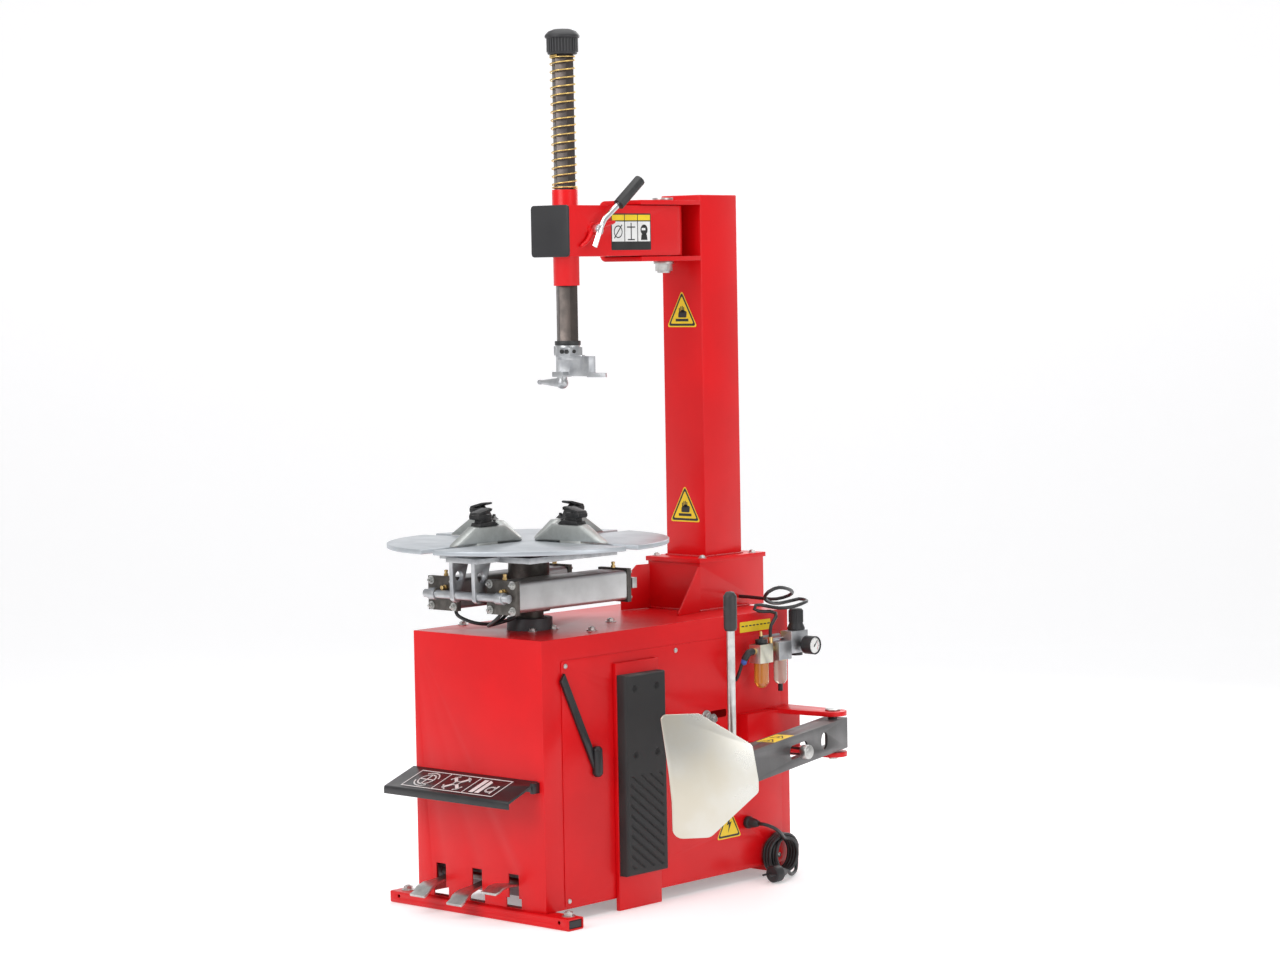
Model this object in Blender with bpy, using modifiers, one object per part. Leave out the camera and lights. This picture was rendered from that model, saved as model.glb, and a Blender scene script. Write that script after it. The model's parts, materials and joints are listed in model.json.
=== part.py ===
"""Swing-arm tyre changer: cabinet, column, swing arm with hex mast, turntable, bead breaker.

Metres, +Z up, operator side at -Y. Every size below is measured from the turntable's axis at floor
level, and the machine empty then moves the lot so that the footprint's middle is the world origin.
"""

import math

import bmesh
import bpy
from mathutils import Matrix, Vector

# Frame and clearances
TABLE_X = -0.150
TABLE_Y = -0.191
GAP = 0.0003
RUN = 0.0004

# Cabinet
CAB_HALF = 0.189
CAB_FRONT = -0.161
CAB_REAR = 0.628
CAB_TOP = 0.591
SHEET = 0.003
BAR_HEIGHT = 0.025
BAR_HALF = 0.264
BAR_DEPTH = 0.046
BAR_FRONT = -0.175
BAR_WALL = 0.0035
LEG_DEPTH = 0.028
PANEL_FRONT = -0.105
PANEL_REAR = 0.598
PANEL_LOW = 0.030
PANEL_TOP = 0.545
PANEL_SHEET = 0.0015
ACCESS_MARGIN = 0.045

# Bead pad on its channel
PAD_Y = 0.116
PAD_WIDTH = 0.128
PAD_LOW = 0.074
PAD_TOP = 0.500
PAD_THICK = 0.024
CHANNEL_WIDTH = 0.133
CHANNEL_TOP = 0.525
CHANNEL_DEPTH = 0.010

# Pedals
PEDAL_MIDDLE = -0.012
PEDAL_PITCH = 0.108
PEDAL_TILTS = {"left": 14.0, "middle": 17.0, "right": 0.0}
PEDAL_SHAFT_Y = -0.110
PEDAL_SHAFT_Z = 0.070
PEDAL_SHAFT_R = 0.008
PEDAL_WIDTH = 0.026
PEDAL_TOE = 0.044
PEDAL_REACH = 0.076
PEDAL_THICK = 0.005
SLOT_TOP = 0.098
SLOT_STEP = 0.048
SLOT_LOW = 0.0275

# Pedal guard
GUARD_LEFT = -0.197
GUARD_RIGHT = 0.172
GUARD_HIGH = 0.300
GUARD_DROP = 0.031
GUARD_REACH = 0.089
GUARD_LIP = 0.017
GUARD_THICK = 0.004

# Turntable and clamp
TABLE_R = 0.300
TABLE_TOP = 0.781
TABLE_THICK = 0.010
SLOT_WIDTH = 0.034
SLOT_START = 0.040
JAW_WIDTH = 0.028
JAW_HEIGHT = 0.038
JAW_INNER = 0.020
JAW_OUTER = 0.232
JAW_TOP_INNER = 0.078
JAW_TOP_OUTER = 0.170
CLAW_R = 0.135
CLAW_WIDTH = 0.028
CLAW_HEIGHT = 0.037
CHUCK_HALF = 0.1335
CHUCK_TOP = 0.757
CHUCK_THICK = 0.012
SPINDLE_R = 0.030
CYL_X = 0.087
CYL_Z = 0.6765
CYL_FRONT = -0.172
CYL_REAR = 0.180
CYL_BARREL_W = 0.080
CYL_BARREL_H = 0.064
CYL_PLATE_W = 0.086
CYL_PLATE_H = 0.072
CYL_PLATE_T = 0.012
CYL_BORE_R = 0.030
CYL_ROD_R = 0.008

# Drive
GEARBOX_LOW = 0.420
GEARBOX_HALF_X = 0.072
GEARBOX_HALF_Y = 0.085
NECK_R = 0.049
NECK_TOP = 0.616
WORM_Z = 0.480
PULLEY_X = 0.092
PULLEY_WIDTH = 0.024
GEAR_PULLEY_R = 0.080
MOTOR_PULLEY_R = 0.032
MOTOR_Z = 0.250
MOTOR_R = 0.066
BELT_THICK = 0.006
BELT_WIDTH = 0.012

# Column
BASE_HALF = 0.077
BASE_FRONT = 0.463
BASE_REAR = 0.680
BASE_TOP = 0.700
BASE_WALL = 0.004
FLANGE = 0.008
COLUMN_HALF = 0.058
COLUMN_FRONT = 0.505
COLUMN_REAR = 0.628
COLUMN_TOP = 1.5125
COLUMN_WALL = 0.005

# Swing arm
PIVOT_Y = 0.446
PIVOT_R = 0.015
ARM_HALF = 0.054
ARM_LOW = 1.3795
ARM_TOP = 1.4883
ARM_FRONT = 0.088
ARM_REAR = 0.478
ARM_WALL = 0.005
ARM_ROUND = 0.050
BUSH_R = 0.023
BRACKET_PLATE = 0.010
BRACKET_PLAY = 0.002
BRACKET_FRONT = 0.310
BRACKET_BEND = 0.016

# Mast
MAST_Y = 0.133
MAST_FLATS = 0.041
MAST_FIT = 0.0004
GUIDE_R = 0.028
GUIDE_LOW = 1.3175
GUIDE_TOP = 1.5225
MAST_LOW = 1.1905
MAST_TOP = 1.8140
MAST_COLLAR_R = 0.028
MAST_COLLAR_H = 0.009
CAP_LOW = 1.8100
CAP_TOP = 1.8650
CAP_R = 0.0375
CAP_SKIRT_R = 0.032
SPRING_R = 0.0268
WIRE_R = 0.0015
SPRING_TURNS = 16

# Mast lock
LOCK_Y = 0.159
LOCK_Z = 1.4356
LOCK_ROD_R = 0.006
LOCK_GRIP_R = 0.0125

# Mount head
HEAD_CLAMP_H = 0.023
HEAD_WALL_LOW = 1.1240
HEAD_WALL_R = 0.150
HEAD_WALL_T = 0.016
HEAD_WALL_X = 0.0265
FINGER_X = -0.008

# Bead breaker
BREAK_X = 0.338
BREAK_Y = 0.600
BREAK_TILT = 17.5
BREAK_LOW = 0.292
BREAK_TOP = 0.359
BREAK_HALF = 0.026
BREAK_WALL = 0.005
BREAK_TAIL = 0.022
BREAK_REACH = 0.600
BREAK_PIN_R = 0.010
EAR_PLATE = 0.010
EAR_PLAY = 0.0065
EAR_R = 0.031
EAR_FRONT = 0.548
BACK_THICK = 0.030
BACK_FRONT = 0.450
SLOT_AT = 0.262
SLOT_LENGTH = 0.100
SLOT_HEIGHT = 0.030
ROD_R = 0.009
ROD_NUT_R = 0.015
BREAK_BARREL_R = 0.080
BREAK_BORE_R = 0.074
HANDLE_Y_ALONG = 0.560
HANDLE_TOP = 0.693
GRIP_LOW = 0.612
GRIP_R = 0.0138
BLADE_TURN = 32.5
BLADE_SHIFT = 0.014
BLADE_GAP = 0.024
BLADE_THICK = 0.006
BLADE_TOP = 0.455
BLADE_LOW = 0.202

# Air unit
UNIT_X = 0.238
LUB_Y = 0.4784
FILTER_Y = 0.5425
REG_Y = 0.599
UNIT_LOW = 0.487
UNIT_TOP = 0.528
REG_LOW = 0.499
REG_TOP = 0.548
UNIT_HALF = 0.0215
UNIT_DEPTH = 0.032
GAUGE_X = 0.293
GAUGE_Z = 0.5167
GAUGE_R = 0.0205
HOSE_R = 0.004
TEE_TOP = 0.540
NEEDLE_REST = -40
HOSE_LOOPS = (
    (-0.010, 0.066, 0.057), (-0.022, 0.065, 0.064), (-0.032, 0.050, 0.065), (-0.038, 0.031, 0.068),
    (-0.042, 0.025, 0.076), (-0.038, 0.037, 0.081), (-0.026, 0.057, 0.076), (-0.004, 0.074, 0.072),
    (0.010, 0.102, 0.074), (0.016, 0.129, 0.080), (0.004, 0.154, 0.082), (-0.022, 0.161, 0.084),
    (-0.040, 0.147, 0.079), (-0.044, 0.114, 0.077), (-0.030, 0.067, 0.084), (-0.012, 0.029, 0.098),
    (0.010, 0.017, 0.114), (0.022, 0.037, 0.122), (0.014, 0.081, 0.114), (-0.008, 0.119, 0.102),
    (-0.030, 0.126, 0.092), (-0.052, 0.112, 0.086), (-0.080, 0.108, 0.086),
)

# Bead lever, as (Y, Z) on the side panel
LEVER_TOP = (-0.108, 0.512)
LEVER_LOW = (-0.006, 0.304)
LEVER_WIDTH = 0.017
LEVER_THICK = 0.007

# Power lead
GLAND_Y = 0.4775
GLAND_Z = 0.130
GLAND_LENGTH = 0.034
LEAD_R = 0.004
HANK_X = 0.214
HANK_Y = 0.570
HANK_R = 0.048
HANK_HOLE_R = 0.024
HANK_WIDTH = 0.040

RED = (0.60, 0.005, 0.008, 0.28, 0.0)
BLACK = (0.012, 0.012, 0.014, 0.45, 0.0)
DARK_GREY = (0.085, 0.080, 0.080, 0.35, 0.2)
STEEL = (0.55, 0.55, 0.53, 0.35, 1.0)
ZINC = (0.66, 0.64, 0.55, 0.38, 1.0)
CHROME = (0.75, 0.75, 0.76, 0.10, 1.0)
ALUMINIUM = (0.62, 0.63, 0.65, 0.40, 1.0)
CAST = (0.38, 0.40, 0.36, 0.55, 0.6)
MAST_STEEL = (0.10, 0.085, 0.075, 0.35, 0.8)
RUBBER = (0.015, 0.015, 0.016, 0.75, 0.0)
BRASS = (0.70, 0.50, 0.16, 0.30, 1.0)

TURN_TO = {
    "X": Matrix(((0, 0, 1), (1, 0, 0), (0, 1, 0))).to_4x4(),
    "Y": Matrix(((1, 0, 0), (0, 0, -1), (0, 1, 0))).to_4x4(),
    "Y_BACK": Matrix(((1, 0, 0), (0, 0, 1), (0, -1, 0))).to_4x4(),
    "Z": Matrix.Identity(4),
}


def clear_scene():
    for leftover in list(bpy.data.objects):
        bpy.data.objects.remove(leftover)


def collection(name, hidden=False):
    made = bpy.data.collections.new(name)
    made.hide_render = hidden
    bpy.context.scene.collection.children.link(made)
    return made


def material(name, look):
    made = bpy.data.materials.new(name)
    made.use_nodes = True
    surface = made.node_tree.nodes["Principled BSDF"]
    surface.inputs["Base Color"].default_value = (*look[:3], 1)
    surface.inputs["Roughness"].default_value = look[3]
    surface.inputs["Metallic"].default_value = look[4]
    return made


def axis_empty(name, place, under):
    """An empty on a joint's axis; place is measured from the turntable's axis."""
    made = bpy.data.objects.new(name, None)
    made.empty_display_size = 0.05
    made.location = place
    parts.objects.link(made)
    hang(made, under)
    return made


def hang(made, under):
    made.parent = under
    if under is not machine:
        made.matrix_parent_inverse = Matrix.Translation(-under.location)


def add(name, data, look, under):
    """An object in the parts collection, or a hidden cutter if it has no look."""
    made = bpy.data.objects.new(name, data)
    if look is None:
        cutters.objects.link(made)
        made.hide_render = True
        made.display_type = "WIRE"
    else:
        parts.objects.link(made)
        data.materials.append(material(name, look))
    hang(made, under or machine)
    return made


def box(name, low, high, look=None, under=None):
    made = bmesh.new()
    bmesh.ops.create_cube(made, size=1)
    size = [b - a for a, b in zip(low, high)]
    bmesh.ops.scale(made, vec=size, verts=made.verts)
    mesh = bpy.data.meshes.new(name)
    made.to_mesh(mesh)
    made.free()
    obj = add(name, mesh, look, under)
    obj.location = [(a + b) / 2 for a, b in zip(low, high)]
    return obj


def rod(name, start, length, radius, axis, look=None, under=None, sides=24, end_radius=None):
    """A cylinder or cone from start along +axis."""
    made = bmesh.new()
    tip = radius if end_radius is None else end_radius
    bmesh.ops.create_cone(made, cap_ends=True, segments=sides, radius1=radius, radius2=tip, depth=length)
    bmesh.ops.translate(made, vec=(0, 0, length / 2), verts=made.verts)
    mesh = bpy.data.meshes.new(name)
    made.to_mesh(mesh)
    made.free()
    mesh.shade_smooth()
    mesh.set_sharp_from_angle(angle=math.radians(40))
    obj = add(name, mesh, look, under)
    obj.matrix_basis = Matrix.Translation(start) @ TURN_TO[axis]
    return obj


def ball(name, centre, radius, under):
    made = bmesh.new()
    bmesh.ops.create_uvsphere(made, u_segments=16, v_segments=10, radius=radius)
    mesh = bpy.data.meshes.new(name)
    made.to_mesh(mesh)
    made.free()
    mesh.shade_smooth()
    obj = add(name, mesh, None, under)
    obj.location = centre
    return obj


def turned(name, profile, start, axis, look=None, under=None, steps=24):
    """A lathe shape: (radius, height) pairs run from the top down the outer side."""
    mesh = bpy.data.meshes.new(name)
    edges = [(i, i + 1) for i in range(len(profile) - 1)]
    mesh.from_pydata([(r, 0, h) for r, h in profile], edges, [])
    obj = add(name, mesh, look, under)
    obj.matrix_basis = Matrix.Translation(start) @ TURN_TO[axis]
    screw = obj.modifiers.new("Turn", "SCREW")
    screw.axis = "Z"
    screw.steps = steps
    screw.render_steps = steps
    screw.use_merge_vertices = True
    screw.merge_threshold = 0.00005
    screw.use_smooth_shade = True
    return obj


def plate(name, outlines, thickness, centre, axis, look=None, under=None):
    """Flat outlines, the first outside and the others holes, thickened along the axis.

    The outline lies in XY for axis Z, in YZ for axis X, and in XZ for axis Y.
    """
    curve = bpy.data.curves.new(name, "CURVE")
    curve.dimensions = "2D"
    curve.fill_mode = "BOTH"
    curve.extrude = thickness / 2
    for outline in outlines:
        spline = curve.splines.new("POLY")
        spline.points.add(len(outline) - 1)
        spline.use_cyclic_u = True
        for point, (u, v) in zip(spline.points, outline):
            point.co = (u, v, 0, 1)
    obj = add(name, curve, look, under)
    obj.matrix_basis = Matrix.Translation(centre) @ TURN_TO[axis]
    return meshed(obj)


def meshed(obj):
    """The same object as a welded mesh, which can be cut or joined."""
    graph = bpy.context.evaluated_depsgraph_get()
    mesh = bpy.data.meshes.new_from_object(obj.evaluated_get(graph), depsgraph=graph)
    weld = bmesh.new()
    weld.from_mesh(mesh)
    bmesh.ops.remove_doubles(weld, verts=weld.verts, dist=0.00001)
    bmesh.ops.recalc_face_normals(weld, faces=weld.faces)
    weld.to_mesh(mesh)
    weld.free()
    name, looks = obj.name, [slot for slot in obj.data.materials]
    basis, under = obj.matrix_basis.copy(), obj.parent
    inverse, home = obj.matrix_parent_inverse.copy(), obj.users_collection[0]
    hidden = obj.hide_render
    bpy.data.objects.remove(obj)
    made = bpy.data.objects.new(name, mesh)
    home.objects.link(made)
    mesh.materials.clear()
    for look in looks:
        mesh.materials.append(look)
    made.parent = under
    made.matrix_parent_inverse = inverse
    made.matrix_basis = basis
    made.hide_render = hidden
    made.display_type = "WIRE" if hidden else "TEXTURED"
    return made


def tube(name, points, radius, look=None, under=None, resolution=2):
    curve = bpy.data.curves.new(name, "CURVE")
    curve.dimensions = "3D"
    curve.bevel_depth = radius
    curve.bevel_resolution = resolution
    curve.use_fill_caps = True
    spline = curve.splines.new("POLY")
    spline.points.add(len(points) - 1)
    for point, place in zip(spline.points, points):
        point.co = (*place, 1)
    return add(name, curve, look, under)


def smooth_route(points, step):
    """Even points along a smooth curve through the given ones."""
    knots = [Vector(p) for p in points]
    knots = [2 * knots[0] - knots[1], *knots, 2 * knots[-1] - knots[-2]]
    fine = []
    for a, b, c, d in zip(knots, knots[1:], knots[2:], knots[3:]):
        for i in range(20):
            t = i / 20
            bend = -a + 3 * b - 3 * c + d
            sweep = 2 * a - 5 * b + 4 * c - d
            fine.append(0.5 * (2 * b + (c - a) * t + sweep * t * t + bend * t**3))
    fine.append(knots[-2])
    route, walked = [fine[0]], 0.0
    for a, b in zip(fine, fine[1:]):
        walked += (b - a).length
        if walked >= step:
            route.append(b)
            walked = 0.0
    if (fine[-1] - route[-1]).length < step / 2:
        route.pop()
    route.append(fine[-1])
    return route


def cut(target, cutter):
    combine(target, cutter, "DIFFERENCE")


def join(target, other):
    combine(target, other, "UNION")


def combine(target, other, operation):
    boolean = target.modifiers.new(other.name, "BOOLEAN")
    boolean.operation = operation
    boolean.solver = "EXACT"
    boolean.object = other


def arc(u, v, radius, start, end, count=6):
    """Points on an arc, angles in degrees."""
    turns = [math.radians(start + (end - start) * i / count) for i in range(count + 1)]
    return [(u + radius * math.cos(t), v + radius * math.sin(t)) for t in turns]


def circle(u, v, radius, count=24):
    return arc(u, v, radius, 0, 360 - 360 / count, count - 1)


def rounded(u0, v0, u1, v1, radius, count=3):
    corners = ((u1, v1, 0), (u0, v1, 90), (u0, v0, 180), (u1, v0, 270))
    points = []
    for u, v, start in corners:
        inner_u = u - radius if u == u1 else u + radius
        inner_v = v - radius if v == v1 else v + radius
        points += arc(inner_u, inner_v, radius, start, start + 90, count)
    return points


def hexagon(u, v, flats, first=0):
    corner = flats / math.sqrt(3)
    return arc(u, v, corner, first, first + 300, 5)


def soften(obj, width, segments=2):
    bevel = obj.modifiers.new("Edges", "BEVEL")
    bevel.width = width
    bevel.segments = segments
    bevel.limit_method = "ANGLE"
    bevel.angle_limit = math.radians(40)


def pedal_x(side):
    return PEDAL_MIDDLE + {"left": -1, "middle": 0, "right": 1}[side] * PEDAL_PITCH


def make_cabinet():
    """The welded sheet cabinet, open below, with rear legs and every hole it needs."""
    low = (-CAB_HALF, CAB_FRONT, BAR_HEIGHT + GAP)
    shell = box("cabinet_shell", low, (CAB_HALF, CAB_REAR, CAB_TOP), RED)
    skin = bmesh.new()
    skin.from_mesh(shell.data)
    bmesh.ops.delete(skin, geom=[f for f in skin.faces if f.normal.z < -0.5], context="FACES_ONLY")
    skin.to_mesh(shell.data)
    skin.free()
    sheet = shell.modifiers.new("Sheet", "SOLIDIFY")
    sheet.thickness = SHEET
    sheet.offset = -1
    sheet.use_even_offset = True
    leg_low = (-CAB_HALF + 0.0005, CAB_REAR - 0.034, 0)
    leg_high = (CAB_HALF - 0.0005, CAB_REAR - 0.034 + LEG_DEPTH, BAR_HEIGHT + 0.006)
    join(shell, box("leg_bar", leg_low, leg_high))
    for side in PEDAL_TILTS:
        x = pedal_x(side)
        half, wide = PEDAL_WIDTH / 2 + 0.0015, PEDAL_TOE / 2
        front, back = CAB_FRONT - 0.02, CAB_FRONT + 0.02
        cut(shell, box(f"pedal_slot_{side}", (x - half, front, SLOT_LOW + 0.01), (x + half, back, SLOT_TOP)))
        cut(shell, box(f"pedal_step_{side}", (x - wide, front, SLOT_LOW), (x + wide, back, SLOT_STEP)))
    cut(shell, rod("hub_hole", (0, 0, CAB_TOP - 0.02), 0.04, NECK_R + GAP, "Z", sides=32))
    hole_low = (CAB_HALF - 0.02, PANEL_FRONT + ACCESS_MARGIN, PANEL_LOW + ACCESS_MARGIN)
    hole_high = (CAB_HALF + 0.02, PANEL_REAR - ACCESS_MARGIN, PANEL_TOP - ACCESS_MARGIN)
    cut(shell, box("access_hole", hole_low, hole_high))


def make_base_bar():
    """Open-ended rectangular tube across the front, under the cabinet."""
    middle = (0, BAR_FRONT + BAR_DEPTH / 2, BAR_HEIGHT / 2)
    outer = rounded(-BAR_DEPTH / 2, -BAR_HEIGHT / 2, BAR_DEPTH / 2, BAR_HEIGHT / 2, 0.003, 2)
    inset = BAR_WALL
    inner = rounded(
        -BAR_DEPTH / 2 + inset, -BAR_HEIGHT / 2 + inset, BAR_DEPTH / 2 - inset, BAR_HEIGHT / 2 - inset, 0.001, 1
    )
    bar = plate("front_base_bar", [outer, inner], 2 * BAR_HALF, middle, "X", RED)
    for side in (-1, 1):
        place = (side * (BAR_HALF - 0.026), BAR_FRONT - 0.01, BAR_HEIGHT * 0.62)
        cut(bar, rod(f"bar_hole_{side}", place, 0.02, 0.004, "Y_BACK", sides=12))


def make_panel():
    """Removable cover of the right side, with the holes for the breaker rod, lead and slot."""
    x = CAB_HALF + GAP + PANEL_SHEET / 2
    outline = rounded(PANEL_FRONT, PANEL_LOW, PANEL_REAR, PANEL_TOP, 0.006, 2)
    rod_hole = circle(rod_y(), breaker_z(), ROD_R + 0.006, 16)
    gland_hole = circle(GLAND_Y, GLAND_Z, 0.0065, 12)
    slot = rounded(0.361, 0.372, 0.414, 0.389, 0.003, 1)
    plate("side_panel", [outline, rod_hole, gland_hole, slot], PANEL_SHEET, (x, 0, 0), "X", RED)


def panel_face():
    return CAB_HALF + GAP + PANEL_SHEET + GAP


def make_pad():
    """Folded channel on the side panel and the ribbed rubber pad on it."""
    x = panel_face()
    half = CHANNEL_WIDTH / 2
    fold = 0.003
    profile = [(x, -half), (x + CHANNEL_DEPTH, -half), (x + CHANNEL_DEPTH, half), (x, half)]
    profile += [(x, half - fold), (x + CHANNEL_DEPTH - fold, half - fold)]
    profile += [(x + CHANNEL_DEPTH - fold, fold - half), (x, fold - half)]
    plate("pad_channel", [profile], CHANNEL_TOP, (0, PAD_Y, CHANNEL_TOP / 2), "Z", RED)
    front = x + CHANNEL_DEPTH + GAP
    outline = rounded(PAD_Y - PAD_WIDTH / 2, PAD_LOW, PAD_Y + PAD_WIDTH / 2, PAD_TOP, 0.012, 3)
    pad = plate("bead_pad", [outline], PAD_THICK, (front + PAD_THICK / 2, 0, 0), "X", RUBBER)
    soften(pad, 0.003, 1)


def make_guard():
    """Black plate over the pedals: sloping top, rounded front lip and a wall flange behind."""
    back = -CAB_FRONT + GAP
    front = back + GUARD_REACH
    slope = math.atan2(GUARD_DROP, GUARD_REACH)
    lip_r = 0.006
    top = [(-back, GUARD_HIGH), (-front + lip_r, GUARD_HIGH - GUARD_DROP + lip_r * math.sin(slope))]
    nose = arc(-front + lip_r, GUARD_HIGH - GUARD_DROP - lip_r + 0.001, lip_r, 90, 180, 3)
    foot = [(-front, GUARD_HIGH - GUARD_DROP - GUARD_LIP), (-front + GUARD_THICK, GUARD_HIGH - GUARD_DROP - GUARD_LIP)]
    under = [(-front + GUARD_THICK, GUARD_HIGH - GUARD_DROP - GUARD_THICK - 0.002)]
    under += [(-back - GUARD_THICK, GUARD_HIGH - GUARD_THICK - 0.001)]
    flange = [(-back - GUARD_THICK, GUARD_HIGH - 0.024), (-back, GUARD_HIGH - 0.024)]
    width = GUARD_RIGHT - GUARD_LEFT
    middle = (GUARD_LEFT + GUARD_RIGHT) / 2
    outline = [top[0], *nose, *foot, *under, *flange]
    guard = plate("pedal_guard", [outline], width, (middle, 0, 0), "X", BLACK)
    lug_low = (GUARD_RIGHT - 0.004, -back - 0.020, GUARD_HIGH - 0.024)
    join(guard, box("guard_lug", lug_low, (GUARD_RIGHT + 0.005, -back, GUARD_HIGH - 0.002)))


def make_pedals():
    """Three flat-bar pedals on one shaft, each at its own tilt, and the valve block behind them."""
    ends = (pedal_x("left") - 0.045, pedal_x("right") + 0.045)
    place = (ends[0], PEDAL_SHAFT_Y, PEDAL_SHAFT_Z)
    rod("pedal_shaft", place, ends[1] - ends[0], PEDAL_SHAFT_R, "X", STEEL, sides=16)
    for side, tilt in PEDAL_TILTS.items():
        make_pedal(side, tilt)
    block_low = (ends[0] - 0.012, PEDAL_SHAFT_Y + 0.030, 0.032)
    block = box("pedal_valve_block", block_low, (ends[1] + 0.012, PEDAL_SHAFT_Y + 0.085, 0.120), DARK_GREY)
    for side in (0, 1):
        x = (ends[0] - 0.010, ends[1])[side]
        arm_low = (x, PEDAL_SHAFT_Y - 0.015, PEDAL_SHAFT_Z - 0.015)
        join(block, box(f"shaft_arm_{side}", arm_low, (x + 0.010, PEDAL_SHAFT_Y + 0.035, PEDAL_SHAFT_Z + 0.015)))
        hole = (x - 0.01, PEDAL_SHAFT_Y, PEDAL_SHAFT_Z)
        cut(block, rod(f"shaft_hole_{side}", hole, 0.03, PEDAL_SHAFT_R + GAP, "X", sides=16))


def make_pedal(side, tilt):
    x = pedal_x(side)
    pivot = axis_empty(f"pedal_{side}_axis", (x, PEDAL_SHAFT_Y, PEDAL_SHAFT_Z), machine)
    pivot.rotation_euler = (math.radians(tilt), 0, 0)
    front = CAB_FRONT - PEDAL_SHAFT_Y
    tip = front - PEDAL_REACH
    knee = front - 0.034
    half = PEDAL_THICK / 2
    top = [(0.010, half), (front, 0.006 + half), (knee, 0.010 + half), (knee - 0.020, 0.007 + half)]
    top += [(tip + 0.012, 0.001 + half), (tip, -0.001 + half)]
    low = [(y, z - PEDAL_THICK) for y, z in reversed(top)]
    name = f"pedal_{side}"
    bar = plate(name, [top + low], PEDAL_TOE, (0, 0, 0), "X", ZINC, pivot)
    bar.matrix_parent_inverse = Matrix.Identity(4)
    narrow = PEDAL_WIDTH / 2
    for edge in (-1, 1):
        waist = [(edge * narrow, 0.02), (edge * narrow, front - 0.006), (edge * PEDAL_TOE / 2, knee - 0.012)]
        waist += [(edge * PEDAL_TOE, knee - 0.012), (edge * PEDAL_TOE, 0.02)]
        trim = plate(f"{name}_trim_{edge}", [waist], 0.08, (0, 0, 0), "Z", None, pivot)
        trim.matrix_parent_inverse = Matrix.Identity(4)
        cut(bar, trim)
    boss = rod(f"{name}_boss", (-narrow, 0, 0), PEDAL_WIDTH, 0.014, "X", None, pivot, sides=16)
    boss.matrix_parent_inverse = Matrix.Identity(4)
    join(bar, boss)
    bore = rod(f"{name}_bore", (-0.03, 0, 0), 0.06, PEDAL_SHAFT_R + RUN, "X", None, pivot, sides=16)
    bore.matrix_parent_inverse = Matrix.Identity(4)
    cut(bar, bore)


def make_turntable():
    """The slotted round table, the chuck under it, four jaws and the two clamp cylinders."""
    spin = axis_empty("turntable_axis", (0, 0, TABLE_TOP), machine)
    table = rod("turntable", (0, 0, TABLE_TOP - TABLE_THICK), TABLE_THICK, TABLE_R, "Z", CAST, spin, sides=64)
    for quarter in range(4):
        u, v = ((1, 0), (0, 1), (-1, 0), (0, -1))[quarter]
        ends = sorted((SLOT_START, TABLE_R + 0.02))
        half = SLOT_WIDTH / 2
        a = (u * ends[0] - abs(v) * half, v * ends[0] - abs(u) * half)
        b = (u * ends[1] + abs(v) * half, v * ends[1] + abs(u) * half)
        low = (min(a[0], b[0]), min(a[1], b[1]), TABLE_TOP - 0.03)
        high = (max(a[0], b[0]), max(a[1], b[1]), TABLE_TOP + 0.03)
        cut(table, box(f"table_slot_{quarter}", low, high, None, spin))
    make_chuck(spin)
    for quarter in range(4):
        make_jaw(quarter, spin)
    for side in (-1, 1):
        make_clamp_cylinder(side, spin)
    make_clamp_fork(spin)


def make_chuck(spin):
    """Square plate, spacer and spindle in one casting, with two lugs and the cross shaft."""
    low = (-CHUCK_HALF, -CHUCK_HALF, CHUCK_TOP - CHUCK_THICK)
    chuck = box("chuck_base", low, (CHUCK_HALF, CHUCK_HALF, CHUCK_TOP), CAST, spin)
    spacer_top = TABLE_TOP - TABLE_THICK - GAP
    join(chuck, rod("chuck_spacer", (0, 0, CHUCK_TOP - 0.003), spacer_top - CHUCK_TOP + 0.003, 0.036, "Z", None, spin))
    plate_low = CHUCK_TOP - CHUCK_THICK
    join(chuck, rod("chuck_hub", (0, 0, 0.630), plate_low + 0.003 - 0.630, 0.044, "Z", None, spin))
    join(chuck, rod("spindle", (0, 0, 0.450), 0.190, SPINDLE_R, "Z", None, spin))
    tab_low = (-0.046, -0.200, plate_low + 0.001)
    join(chuck, box("chuck_tab", tab_low, (0.046, -CHUCK_HALF + 0.01, CHUCK_TOP - 0.001), None, spin))
    for side in (-1, 1):
        x = side * 0.0325
        lug = [(-0.1995, plate_low + 0.004), (-0.198, CYL_Z - 0.008), *arc(-0.186, CYL_Z - 0.002, 0.013, 190, 350, 5)]
        lug += [(-0.168, CYL_Z + 0.02), (-0.150, plate_low + 0.004)]
        hole = circle(-0.180, CYL_Z + 0.040, 0.0115, 12)
        join(chuck, plate(f"chuck_lug_{side}", [lug, hole], 0.010, (x, 0, 0), "X", None, spin))
        eye = (side * (CYL_X + 0.012) - 0.010, -0.186, CYL_Z)
        join(chuck, rod(f"cylinder_eye_{side}", eye, 0.020, 0.0125, "X", None, spin, sides=16))
    join(chuck, rod("cross_shaft", (-0.1235, -0.186, CYL_Z), 0.247, 0.009, "X", None, spin, sides=16))


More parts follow.
